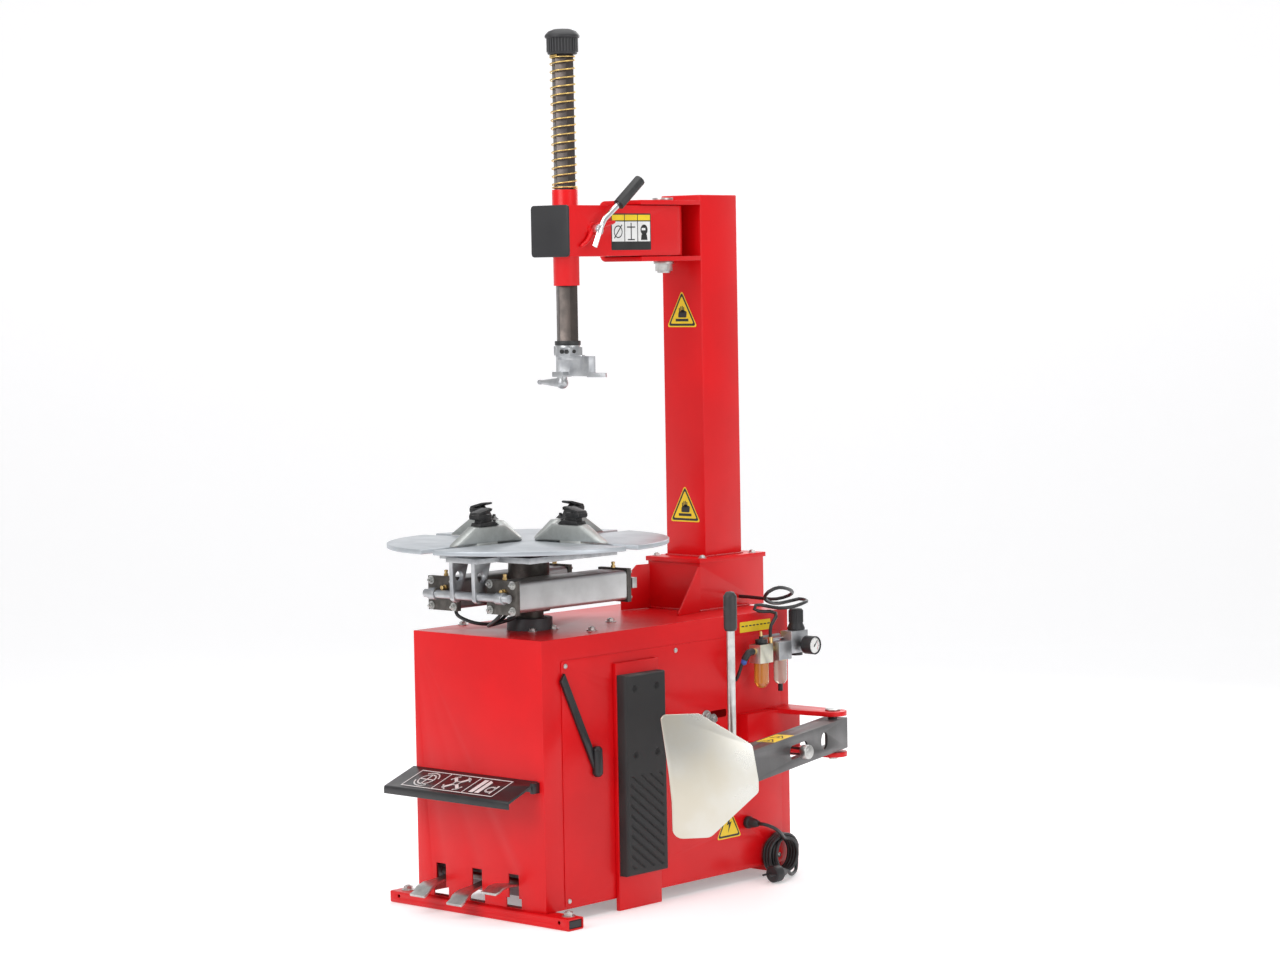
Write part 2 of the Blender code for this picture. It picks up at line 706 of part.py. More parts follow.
def make_jaw(quarter, spin):
    """A trapezoid slide in its slot and the stepped steel claw bolted on its back."""
    turn = Matrix.Rotation(math.radians(90 * quarter), 4, "Z")
    base = TABLE_TOP + GAP
    side = [(JAW_INNER, base), (JAW_OUTER, base), (JAW_TOP_OUTER, base + JAW_HEIGHT)]
    side += [(JAW_TOP_INNER, base + JAW_HEIGHT)]
    number = quarter + 1
    slide = plate(f"jaw_slide_{number}", [side], JAW_WIDTH, (0, 0, 0), "Y", CAST, spin)
    soften(slide, 0.008, 2)
    foot_top = TABLE_TOP - TABLE_THICK - GAP * 2
    stem_low = (0.105, -JAW_WIDTH / 2 + 0.001, foot_top - 0.006)
    stem = box(f"jaw_stem_{number}", stem_low, (0.165, JAW_WIDTH / 2 - 0.001, base + 0.004), None, spin)
    foot_low = (0.105, -0.026, foot_top - 0.010)
    foot = box(f"jaw_foot_{number}", foot_low, (0.165, 0.026, foot_top), None, spin)
    claw_base = base + JAW_HEIGHT + GAP
    r = CLAW_R
    top = claw_base + CLAW_HEIGHT
    claw = [(r - 0.037, claw_base), (r + 0.023, claw_base), (r + 0.017, top - 0.020), (r + 0.027, top - 0.015)]
    claw += [(r + 0.027, top - 0.007), (r + 0.019, top), (r - 0.003, top), (r - 0.017, top - 0.003)]
    claw += [(r - 0.014, top - 0.011)]
    grip = plate(f"jaw_claw_{number}", [claw], CLAW_WIDTH, (0, 0, 0), "Y", BLACK, spin)
    for piece in (slide, stem, foot, grip):
        piece.matrix_basis = turn @ piece.matrix_basis
    join(slide, stem)
    join(slide, foot)


def make_clamp_cylinder(side, spin):
    """Pneumatic cylinder: square bored barrel between two end plates."""
    x = side * CYL_X
    name = "clamp_cylinder_" + ("left" if side < 0 else "right")
    length = CYL_REAR - CYL_FRONT - 2 * CYL_PLATE_T + 0.004
    middle = (x, (CYL_FRONT + CYL_REAR) / 2, CYL_Z)
    half_w, half_h = CYL_BARREL_W / 2, CYL_BARREL_H / 2
    outer = rounded(-half_w, -half_h, half_w, half_h, 0.009)
    barrel = plate(name, [outer, circle(0, 0, CYL_BORE_R, 24)], length, middle, "Y", STEEL, spin)
    for end in (0, 1):
        y = (CYL_FRONT, CYL_REAR - CYL_PLATE_T)[end]
        low = (x - CYL_PLATE_W / 2, y, CYL_Z - CYL_PLATE_H / 2)
        high = (x + CYL_PLATE_W / 2, y + CYL_PLATE_T, CYL_Z + CYL_PLATE_H / 2)
        join(barrel, box(f"{name}_plate_{end}", low, high, None, spin))
    shaft = rod(f"{name}_bore", (x, CYL_REAR - CYL_PLATE_T - 0.01, CYL_Z), 0.04, CYL_ROD_R + GAP, "Y_BACK", None, spin, sides=16)
    cut(barrel, shaft)


def make_clamp_fork(spin):
    """The two piston rods, joined behind the cylinders by one crosshead."""
    slide = axis_empty("clamp_fork_axis", (0, CYL_REAR, CYL_Z), spin)
    y = CYL_REAR + 0.034
    fork = box("clamp_fork", (-0.102, y, CYL_Z - 0.011), (0.102, y + 0.014, CYL_Z + 0.011), STEEL, slide)
    for side in (-1, 1):
        piston_y = 0.060
        start = (side * CYL_X, piston_y, CYL_Z)
        join(fork, rod(f"fork_rod_{side}", start, y + 0.006 - piston_y, CYL_ROD_R, "Y_BACK", None, slide, sides=16))
        join(fork, rod(f"fork_piston_{side}", start, 0.020, CYL_BORE_R - RUN, "Y_BACK", None, slide, sides=16))


def make_drive():
    """Worm gearbox with its neck through the cabinet top, belt, pulleys and motor."""
    low = (-GEARBOX_HALF_X, -GEARBOX_HALF_Y, GEARBOX_LOW)
    top = CAB_TOP - SHEET - GAP
    gearbox = box("gearbox", low, (GEARBOX_HALF_X, GEARBOX_HALF_Y, top), BLACK)
    join(gearbox, rod("gearbox_neck", (0, 0, top - 0.004), NECK_TOP - top + 0.004, NECK_R - GAP, "Z", sides=32))
    cut(gearbox, rod("gearbox_bore", (0, 0, 0.449), 0.2, SPINDLE_R + RUN, "Z"))
    shaft_x = GEARBOX_HALF_X - 0.002
    join(gearbox, rod("gearbox_seat", (shaft_x - 0.002, 0, WORM_Z), 0.012, 0.024, "X"))
    cut(gearbox, rod("worm_bore", (GEARBOX_HALF_X - 0.024, 0, WORM_Z), 0.06, 0.010 + RUN, "X", sides=16))
    worm = axis_empty("gearbox_pulley_axis", (PULLEY_X, 0, WORM_Z), machine)
    make_pulley("gearbox_pulley", GEAR_PULLEY_R, WORM_Z, worm, GEARBOX_HALF_X - 0.020)
    motor_axis = axis_empty("motor_axis", (PULLEY_X, 0, MOTOR_Z), machine)
    start = (-0.110, 0, MOTOR_Z)
    motor_end = 0.080
    motor = rod("drive_motor", start, motor_end - start[0], MOTOR_R, "X", BLACK, sides=24)
    foot_low = (-0.080, -0.050, MOTOR_Z - MOTOR_R - 0.010)
    join(motor, box("motor_foot", foot_low, (0.050, 0.050, MOTOR_Z - MOTOR_R + 0.020)))
    cut(motor, rod("motor_bore", (motor_end - 0.020, 0, MOTOR_Z), 0.06, 0.010 + RUN, "X", sides=16))
    make_pulley("motor_pulley", MOTOR_PULLEY_R, MOTOR_Z, motor_axis, motor_end - 0.018)
    make_belt()


def make_pulley(name, radius, z, under, shaft_start):
    """V-belt pulley with its shaft stub; the profile runs along +X."""
    groove = radius - 0.010
    mid = PULLEY_WIDTH / 2
    lip = BELT_WIDTH / 2 + 0.002
    stub = PULLEY_X - shaft_start
    profile = [(0, PULLEY_WIDTH), (radius, PULLEY_WIDTH), (radius, mid + lip), (groove, mid + lip - 0.002)]
    profile += [(groove, mid - lip + 0.002), (radius, mid - lip), (radius, 0), (0.010, 0), (0.010, -stub), (0, -stub)]
    turned(name, profile, (PULLEY_X, 0, z), "X", DARK_GREY, under, steps=24)


def make_belt():
    """Flat loop round both pulleys, just clear of their grooves."""
    inner_big = GEAR_PULLEY_R - 0.010 + GAP
    inner_small = MOTOR_PULLEY_R - 0.010 + GAP
    span = WORM_Z - MOTOR_Z
    loops = []
    for extra in (BELT_THICK, 0):
        big, small = inner_big + extra, inner_small + extra
        lean = math.degrees(math.asin((big - small) / span))
        outline = arc(0, WORM_Z, big / math.cos(math.pi / 48), -lean, 180 + lean, 16)
        outline += arc(0, MOTOR_Z, small / math.cos(math.pi / 32), 180 + lean, 360 - lean, 8)
        loops.append(outline)
    plate("drive_belt", loops, BELT_WIDTH, (PULLEY_X + PULLEY_WIDTH / 2, 0, 0), "X", RUBBER)


def make_column():
    """Box base with flange and front wings, and the square column on it."""
    floor = CAB_TOP + GAP
    low = (-BASE_HALF, BASE_FRONT, floor)
    base = box("column_base", low, (BASE_HALF, BASE_REAR, BASE_TOP), RED)
    inside = (-BASE_HALF + BASE_WALL, BASE_FRONT + BASE_WALL, floor - 0.02)
    cut(base, box("base_hollow", inside, (BASE_HALF - BASE_WALL, BASE_REAR - BASE_WALL, BASE_TOP - BASE_WALL)))
    top_low = (-BASE_HALF - 0.004, BASE_FRONT - 0.004, BASE_TOP - 0.002)
    join(base, box("base_flange", top_low, (BASE_HALF + 0.004, BASE_REAR + 0.004, BASE_TOP + FLANGE)))
    height = BASE_TOP - floor
    for side in (-1, 1):
        flare = math.radians(90 + side * 12)
        run = Matrix(((math.cos(flare), 0), (-math.sin(flare), 0)))
        foot = 0.100 if side > 0 else 0.080
        crown = 0.0 if side > 0 else 0.030
        wing = [(0, 0), (foot, 0), (foot, height * (0.04 if side > 0 else 0.55)), (crown + 0.006, height - 0.010)]
        wing += [(-0.003, height - 0.010), (-0.003, 0)]
        panel = plate(f"base_wing_{side}", [wing], BASE_WALL, (0, 0, 0), "Y")
        heading = math.atan2(run[1][0], side * abs(run[0][0]))
        corner = (side * (BASE_HALF - BASE_WALL / 2), BASE_FRONT + BASE_WALL / 2, floor)
        panel.matrix_basis = Matrix.Translation(corner) @ Matrix.Rotation(heading, 4, "Z") @ TURN_TO["Y"]
        join(base, panel)
    column_low = BASE_TOP + FLANGE + GAP
    post = box("column", (-COLUMN_HALF, COLUMN_FRONT, column_low), (COLUMN_HALF, COLUMN_REAR, COLUMN_TOP), RED)
    hollow_low = (-COLUMN_HALF + COLUMN_WALL, COLUMN_FRONT + COLUMN_WALL, column_low - 0.02)
    hollow_high = (COLUMN_HALF - COLUMN_WALL, COLUMN_REAR - COLUMN_WALL, COLUMN_TOP - COLUMN_WALL)
    cut(post, box("column_hollow", hollow_low, hollow_high))


def make_bracket():
    """C-shaped bent plate on the column's front, open to the right, that holds the arm's pivot."""
    low = ARM_LOW - BRACKET_PLAY
    top = ARM_TOP + BRACKET_PLAY
    t = BRACKET_PLATE
    left = -ARM_HALF - 0.0025 - t
    right = COLUMN_HALF
    bend = BRACKET_BEND
    outer = arc(left + bend, top + t - bend, bend, 90, 180, 4) + arc(left + bend, low - t + bend, bend, 180, 270, 4)
    inner_r = bend - t
    inner = arc(left + bend, low + inner_r, inner_r, 270, 180, 2) + arc(left + bend, top - inner_r, inner_r, 180, 90, 2)
    profile = [*outer, (right, low - t), (right, low), *inner, (right, top), (right, top + t)]
    length = COLUMN_FRONT - GAP - BRACKET_FRONT
    centre = (0, BRACKET_FRONT + length / 2, 0)
    bracket = plate("arm_bracket", [profile], length, centre, "Y", RED)
    cut(bracket, rod("bracket_hole", (0, PIVOT_Y, low - 0.05), 0.25, PIVOT_R + GAP, "Z"))


def make_pivot_bolt():
    """Shouldered bolt with a washer and hex nut below and a low head above."""
    bottom = ARM_LOW - BRACKET_PLAY - BRACKET_PLATE - GAP
    crown = ARM_TOP + BRACKET_PLAY + BRACKET_PLATE + GAP
    washer, nut = 0.006, 0.016
    shank = (0, PIVOT_Y, bottom - washer - nut - 0.004)
    bolt = rod("pivot_bolt", shank, crown - shank[2] + 0.002, PIVOT_R - RUN / 2, "Z", STEEL)
    join(bolt, rod("pivot_head", (0, PIVOT_Y, crown), 0.006, 0.023, "Z"))
    join(bolt, rod("pivot_washer", (0, PIVOT_Y, bottom - washer), washer, 0.023, "Z"))
    flats = hexagon(0, PIVOT_Y, 0.034, 30)
    join(bolt, plate("pivot_nut", [flats], nut + 0.001, (0, 0, bottom - washer - nut / 2 + 0.0005), "Z"))


def make_arm():
    """Square-section arm: hollow tube, pivot bush, hex mast guide and the black end cap."""
    swing = axis_empty("swing_axis", (0, PIVOT_Y, ARM_LOW), machine)
    middle = (ARM_LOW + ARM_TOP) / 2
    height = ARM_TOP - ARM_LOW
    r = ARM_ROUND
    rear = arc(ARM_HALF - r, ARM_REAR - r, r, 0, 90, 6) + arc(r - ARM_HALF, ARM_REAR - r, r, 90, 180, 6)
    outline = [(-ARM_HALF, ARM_FRONT), (ARM_HALF, ARM_FRONT), *rear]
    arm = plate("swing_arm", [outline], height, (0, 0, middle), "Z", RED, swing)
    w = ARM_WALL
    inner_rear = arc(ARM_HALF - r, ARM_REAR - r, r - w, 0, 90, 6) + arc(r - ARM_HALF, ARM_REAR - r, r - w, 90, 180, 6)
    hollow = [(w - ARM_HALF, ARM_FRONT - 0.02), (ARM_HALF - w, ARM_FRONT - 0.02), *inner_rear]
    cut(arm, plate("arm_hollow", [hollow], height - 2 * w, (0, 0, middle), "Z", None, swing))
    join(arm, rod("arm_bush", (0, PIVOT_Y, ARM_LOW + 0.001), height - 0.002, BUSH_R, "Z", None, swing))
    join(arm, rod("mast_guide", (0, MAST_Y, GUIDE_LOW), GUIDE_TOP - GUIDE_LOW, GUIDE_R, "Z", None, swing))
    cut(arm, rod("pivot_bore", (0, PIVOT_Y, ARM_LOW - 0.05), 0.25, PIVOT_R + RUN / 2, "Z", None, swing))
    bore = hexagon(0, MAST_Y, MAST_FLATS + 2 * MAST_FIT, 30)
    guide_middle = (GUIDE_LOW + GUIDE_TOP) / 2
    cut(arm, plate("mast_bore", [bore], GUIDE_TOP - GUIDE_LOW + 0.05, (0, 0, guide_middle), "Z", None, swing))
    boss = (ARM_HALF - 0.002, LOCK_Y, LOCK_Z)
    join(arm, rod("lock_boss", boss, 0.008, 0.016, "X", None, swing, sides=20))
    cut(arm, rod("lock_bore", (ARM_HALF - 0.02, LOCK_Y, LOCK_Z), 0.05, 0.008 + RUN, "X", None, swing, sides=16))
    edge = 0.0008
    cap_outline = rounded(-ARM_HALF - edge, ARM_LOW - edge, ARM_HALF + edge, ARM_TOP + edge, 0.008, 3)
    cap = plate("arm_end_cap", [cap_outline], 0.005, (0, ARM_FRONT - GAP - 0.0025, 0), "Y", BLACK, swing)
    fit = w + GAP
    plug_low = (fit - ARM_HALF, ARM_FRONT - GAP - 0.002, ARM_LOW + fit)
    join(cap, box("cap_plug", plug_low, (ARM_HALF - fit, ARM_FRONT + 0.010, ARM_TOP - fit), None, swing))
    make_mast(swing)
    make_lock(swing)


def make_mast(swing):
    """Hexagonal mast with its foot collar, cap, return spring and the mount head."""
    slide = axis_empty("mast_axis", (0, MAST_Y, MAST_LOW), swing)
    length = MAST_TOP - MAST_LOW
    flats = hexagon(0, MAST_Y, MAST_FLATS, 30)
    mast = plate("mast", [flats], length, (0, 0, MAST_LOW + length / 2), "Z", MAST_STEEL, slide)
    join(mast, rod("mast_collar", (0, MAST_Y, MAST_LOW - 0.0001), MAST_COLLAR_H, MAST_COLLAR_R, "Z", None, slide))
    socket = MAST_TOP - CAP_LOW + GAP
    skirt = CAP_TOP - CAP_LOW - 0.020
    height = CAP_TOP - CAP_LOW
    profile = [(0, height), (0.018, height - 0.0015), (0.030, height - 0.006), (CAP_R, height - 0.014)]
    profile += [(CAP_R, skirt), (CAP_SKIRT_R, skirt - 0.001), (CAP_SKIRT_R, 0), (MAST_FLATS * 0.6, 0)]
    profile += [(MAST_FLATS * 0.6, socket), (0, socket)]
    turned("mast_cap", profile, (0, MAST_Y, CAP_LOW), "Z", BLACK, slide, steps=24)
    low = GUIDE_TOP + WIRE_R + GAP
    high = CAP_LOW - WIRE_R - GAP
    count = SPRING_TURNS * 10
    coil = []
    for i in range(count + 1):
        t = 2 * math.pi * i / 10
        coil.append((SPRING_R * math.cos(t), MAST_Y + SPRING_R * math.sin(t), low + (high - low) * i / count))
    tube("mast_spring", coil, WIRE_R, BRASS, slide, resolution=1)
    make_head(slide)


def make_head(slide):
    """Cast mount head: split clamp, curved wall, hooked finger at the left and foot at the right."""
    top = MAST_LOW - 0.0001 - GAP
    clamp_low = top - HEAD_CLAMP_H
    head = rod("mount_head", (0, MAST_Y, clamp_low - 0.002), HEAD_CLAMP_H + 0.002, 0.0265, "Z", ALUMINIUM, slide)
    lug_low = (0.009, MAST_Y - 0.034, clamp_low + 0.001)
    join(head, box("head_lug_right", lug_low, (0.037, MAST_Y + 0.006, top - 0.004), None, slide))
    left_low = (-0.036, MAST_Y - 0.006, clamp_low + 0.001)
    join(head, box("head_lug_left", left_low, (-0.010, MAST_Y + 0.016, top - 0.002), None, slide))
    middle = (HEAD_WALL_X, MAST_Y + 0.010 - HEAD_WALL_R)
    inner = HEAD_WALL_R - HEAD_WALL_T
    wall = arc(*middle, HEAD_WALL_R, 111, 69, 8) + arc(*middle, inner, 69, 111, 8)
    height = clamp_low - HEAD_WALL_LOW
    join(head, plate("head_wall", [wall], height, (0, 0, HEAD_WALL_LOW + height / 2), "Z", None, slide))
    shelf = [(-0.022, MAST_Y - 0.012), (0.000, MAST_Y - 0.0205), (0.046, MAST_Y - 0.0045)]
    shelf += [(0.044, MAST_Y + 0.006), (0.006, MAST_Y + 0.0085), (-0.0235, MAST_Y + 0.0035)]
    join(head, plate("head_shelf", [shelf], 0.010, (0, 0, clamp_low - 0.003), "Z", None, slide))
    right = HEAD_WALL_X + 0.054
    foot = [(right, MAST_Y - 0.028), (right + 0.036, MAST_Y - 0.024), (right + 0.041, MAST_Y - 0.014)]
    foot += [(right + 0.036, MAST_Y - 0.004), (right - 0.004, MAST_Y - 0.002)]
    join(head, plate("head_foot", [foot], 0.009, (0, 0, HEAD_WALL_LOW + 0.0035), "Z", None, slide))
    left = [(-0.025, MAST_Y - 0.024), (0.008, MAST_Y - 0.026), (0.008, MAST_Y + 0.002), (-0.021, MAST_Y - 0.004)]
    join(head, plate("head_heel", [left], 0.011, (0, 0, HEAD_WALL_LOW + 0.004), "Z", None, slide))
    bulb = (FINGER_X, MAST_Y - 0.011, HEAD_WALL_LOW - 0.0145)
    join(head, ball("head_thumb", bulb, 0.0132, slide))
    join(head, rod("head_neck", bulb, 0.018, 0.011, "Z", None, slide, sides=16))
    reach = 0.0705
    finger = [(0, reach), (0.0115, reach), (0.005, 0.014), (0.0042, 0.009), (0.0052, 0.008), (0.0052, 0.001), (0, 0)]
    tip = (FINGER_X - reach, bulb[1], bulb[2] + 0.001)
    join(head, turned("head_finger", finger, tip, "X", None, slide, steps=16))


def make_lock(swing):
    """Bent lock lever: hub in the arm's side, cranked rod and a thicker grip."""
    pivot = axis_empty("lock_axis", (ARM_HALF, LOCK_Y, LOCK_Z), swing)
    start = (ARM_HALF - 0.016, LOCK_Y, LOCK_Z)
    lever = rod("lock_handle", start, 0.040, 0.008, "X", CHROME, pivot, sides=16)
    x = ARM_HALF + 0.024
    join(lever, rod("lock_hub", (ARM_HALF + 0.0075, LOCK_Y, LOCK_Z), 0.014, 0.012, "X", None, pivot, sides=16))
    path = [(x, LOCK_Y - 0.020, LOCK_Z - 0.036), (x, LOCK_Y, LOCK_Z + 0.004), (x, LOCK_Y + 0.012, LOCK_Z + 0.022)]
    path += [(x + 0.002, LOCK_Y + 0.050, LOCK_Z + 0.050), (x + 0.004, LOCK_Y + 0.070, LOCK_Z + 0.064)]
    join(lever, meshed(tube("lock_rod", path, LOCK_ROD_R, None, pivot)))
    grip = [(x + 0.003, LOCK_Y + 0.055, LOCK_Z + 0.0535), (x + 0.010, LOCK_Y + 0.116, LOCK_Z + 0.106)]
    join(lever, meshed(tube("lock_grip", grip, LOCK_GRIP_R, None, pivot, resolution=3)))


def breaker_z():
    return (BREAK_LOW + BREAK_TOP) / 2


def rod_y():
    """Where the breaker rod crosses the arm's slot."""
    return BREAK_Y - SLOT_AT * math.cos(math.radians(BREAK_TILT))


def make_breaker():
    """Bead breaker: side bracket with ears, pin, channel arm, blade, handle, cylinder and rod."""
    make_breaker_bracket()
    pin_low = BREAK_LOW - EAR_PLAY - EAR_PLATE - 0.006
    pin_top = BREAK_TOP + EAR_PLAY + EAR_PLATE
    pin = rod("breaker_pin", (BREAK_X, BREAK_Y, pin_low), pin_top - pin_low + 0.002, BREAK_PIN_R, "Z", STEEL, sides=20)
    join(pin, rod("pin_head", (BREAK_X, BREAK_Y, pin_top + GAP), 0.004, 0.017, "Z", sides=20))
    hinge = axis_empty("breaker_axis", (BREAK_X, BREAK_Y, BREAK_LOW), machine)
    hinge.rotation_euler = (0, 0, math.radians(BREAK_TILT))
    make_breaker_arm(hinge)
    make_blade(hinge)
    make_breaker_cylinder()


def local(made):
    """Lets a piece sit in its empty's own axes."""
    made.matrix_parent_inverse = Matrix.Identity(4)
    return made


def make_breaker_bracket():
    x = panel_face()
    ear_low = BREAK_LOW - EAR_PLAY - EAR_PLATE
    ear_top = BREAK_TOP + EAR_PLAY + EAR_PLATE
    back = box("breaker_bracket", (x, BACK_FRONT, ear_low + 0.002), (x + BACK_THICK, CAB_REAR, ear_top - 0.002), RED)
    for number, z in enumerate((ear_low, BREAK_TOP + EAR_PLAY)):
        nose = arc(BREAK_X, BREAK_Y, EAR_R, -90, 80, 8)
        ear = [(x + 0.001, EAR_FRONT), (x + 0.060, EAR_FRONT + 0.008), *nose, (x + 0.001, CAB_REAR - 0.001)]
        join(back, plate(f"ear_{number}", [ear], EAR_PLATE, (0, 0, z + EAR_PLATE / 2), "Z"))
    cut(back, rod("ear_hole", (BREAK_X, BREAK_Y, ear_low - 0.02), 0.15, BREAK_PIN_R + GAP, "Z", sides=20))


def make_breaker_arm(hinge):
    """Channel open to the cabinet: outer web with a rod slot and a round hole, and two flanges.

    In the hinge's own axes the arm runs along -Y and the web is at +X.
    """
    low = (-BREAK_HALF, -BREAK_REACH, 0)
    high = (BREAK_HALF, BREAK_TAIL, BREAK_TOP - BREAK_LOW)
    arm = local(box("breaker_arm", low, high, DARK_GREY, hinge))
    w = BREAK_WALL
    inside_low = (-BREAK_HALF - 0.01, -BREAK_REACH + 0.06, w)
    inside = local(box("arm_channel", inside_low, (BREAK_HALF - w, BREAK_TAIL + 0.01, high[2] - w), None, hinge))
    cut(arm, inside)
    mid = high[2] / 2
    slot = rounded(
        -SLOT_AT - SLOT_LENGTH / 2, mid - SLOT_HEIGHT / 2, -SLOT_AT + SLOT_LENGTH / 2, mid + SLOT_HEIGHT / 2, 0.0149, 5
    )
    cut(arm, local(plate("rod_slot", [slot], 0.06, (BREAK_HALF, 0, 0), "X", None, hinge)))
    hole = circle(-0.115, mid, 0.019, 20)
    cut(arm, local(plate("round_hole", [hole], 0.06, (BREAK_HALF, 0, 0), "X", None, hinge)))
    bush = local(rod("arm_bush_pin", (0, 0, 0.0005), high[2] - 0.001, 0.018, "Z", None, hinge))
    join(arm, bush)
    cut(arm, local(rod("arm_pin_bore", (0, 0, -0.02), 0.12, BREAK_PIN_R + RUN, "Z", None, hinge, sides=20)))
    cut(arm, local(rod("handle_bore", (0, -HANDLE_Y_ALONG, 0.030), 0.10, 0.0085 + GAP, "Z", None, hinge, sides=16)))
    floor = BREAK_LOW
    bar_top = HANDLE_TOP - floor
    bar = local(rod("breaker_handle", (0, -HANDLE_Y_ALONG, 0.030 + GAP), bar_top - 0.05, 0.0085, "Z", STEEL, hinge, 16))
    length = HANDLE_TOP - GRIP_LOW
    grip = [(0, length), (GRIP_R * 0.6, length - 0.002), (GRIP_R, length - 0.010), (GRIP_R, 0.006), (GRIP_R * 0.85, 0)]
    grip += [(0, 0)]
    join(bar, local(turned("handle_grip", grip, (0, -HANDLE_Y_ALONG, GRIP_LOW - floor), "Z", None, hinge, steps=16)))


def make_blade(hinge):
    """Curved steel paddle on a clevis at the arm's end."""
    floor = BREAK_LOW
    top, low = BLADE_TOP - floor, BLADE_LOW - floor
    outline = [(-0.150, top - 0.008), *arc(-0.139, top - 0.010, 0.010, 160, 90, 3), (-0.072, top)]
    outline += [*arc(0.024, top - 0.076, 0.014, 50, 5, 3), (0.048, top - 0.140), *arc(0.036, low + 0.094, 0.012, 0, -45, 3)]
    outline += [*arc(-0.060, low + 0.020, 0.020, -45, -90, 3), *arc(-0.108, low + 0.022, 0.022, 270, 195, 4)]
    outline += [(-0.130, low + 0.075), (-0.136, low + 0.140), (-0.144, low + 0.200)]
    blade = local(plate("breaker_blade", [outline], BLADE_THICK, (0, 0, 0), "Y", ZINC, hinge))
    mid = (BREAK_TOP - floor) / 2
    knuckle_low = (-0.038 - BLADE_SHIFT, 0, mid - 0.020)
    knuckle = local(box("blade_knuckle", knuckle_low, (0.004 - BLADE_SHIFT, BLADE_GAP, mid + 0.020), None, hinge))
    turn = Matrix.Rotation(math.radians(BLADE_TURN), 4, "Z")
    shift = Matrix.Translation((0.010, -BREAK_REACH - 0.016, 0)) @ turn
    shift = shift @ Matrix.Translation((BLADE_SHIFT, -BLADE_GAP, 0))
    for piece in (blade, knuckle):
        piece.matrix_basis = shift @ piece.matrix_basis
    join(blade, knuckle)


def make_breaker_cylinder():
    """Wide pneumatic cylinder inside the cabinet; its rod runs out through the side and the arm."""
    z = breaker_z()
    y = rod_y()
    start = -CAB_HALF + SHEET + 0.004
    length = 0.262
    lid = 0.012
    profile = [(ROD_R + GAP, length), (BREAK_BARREL_R, length), (BREAK_BARREL_R, 0), (0, 0), (0, lid)]
    profile += [(BREAK_BORE_R, lid), (BREAK_BORE_R, length - lid), (ROD_R + GAP, length - lid)]
    profile += [(ROD_R + GAP, length)]
    turned("breaker_cylinder", profile, (start, y, z), "X", STEEL, None, steps=32)
    slide = axis_empty("breaker_rod_axis", (start, y, z), machine)
    web = BREAK_X + SLOT_AT * math.sin(math.radians(BREAK_TILT)) + BREAK_HALF / math.cos(math.radians(BREAK_TILT))
    piston = start + 0.140
    rod_end = web + 0.034
    shaft = rod("breaker_rod", (piston, y, z), rod_end - piston, ROD_R, "X", CHROME, slide, sides=20)
    join(shaft, rod("breaker_piston", (piston, y, z), 0.030, BREAK_BORE_R - RUN, "X", None, slide, sides=32))
    join(shaft, rod("rod_nut", (rod_end - 0.018, y, z), 0.016, ROD_NUT_R, "X", None, slide, sides=20))


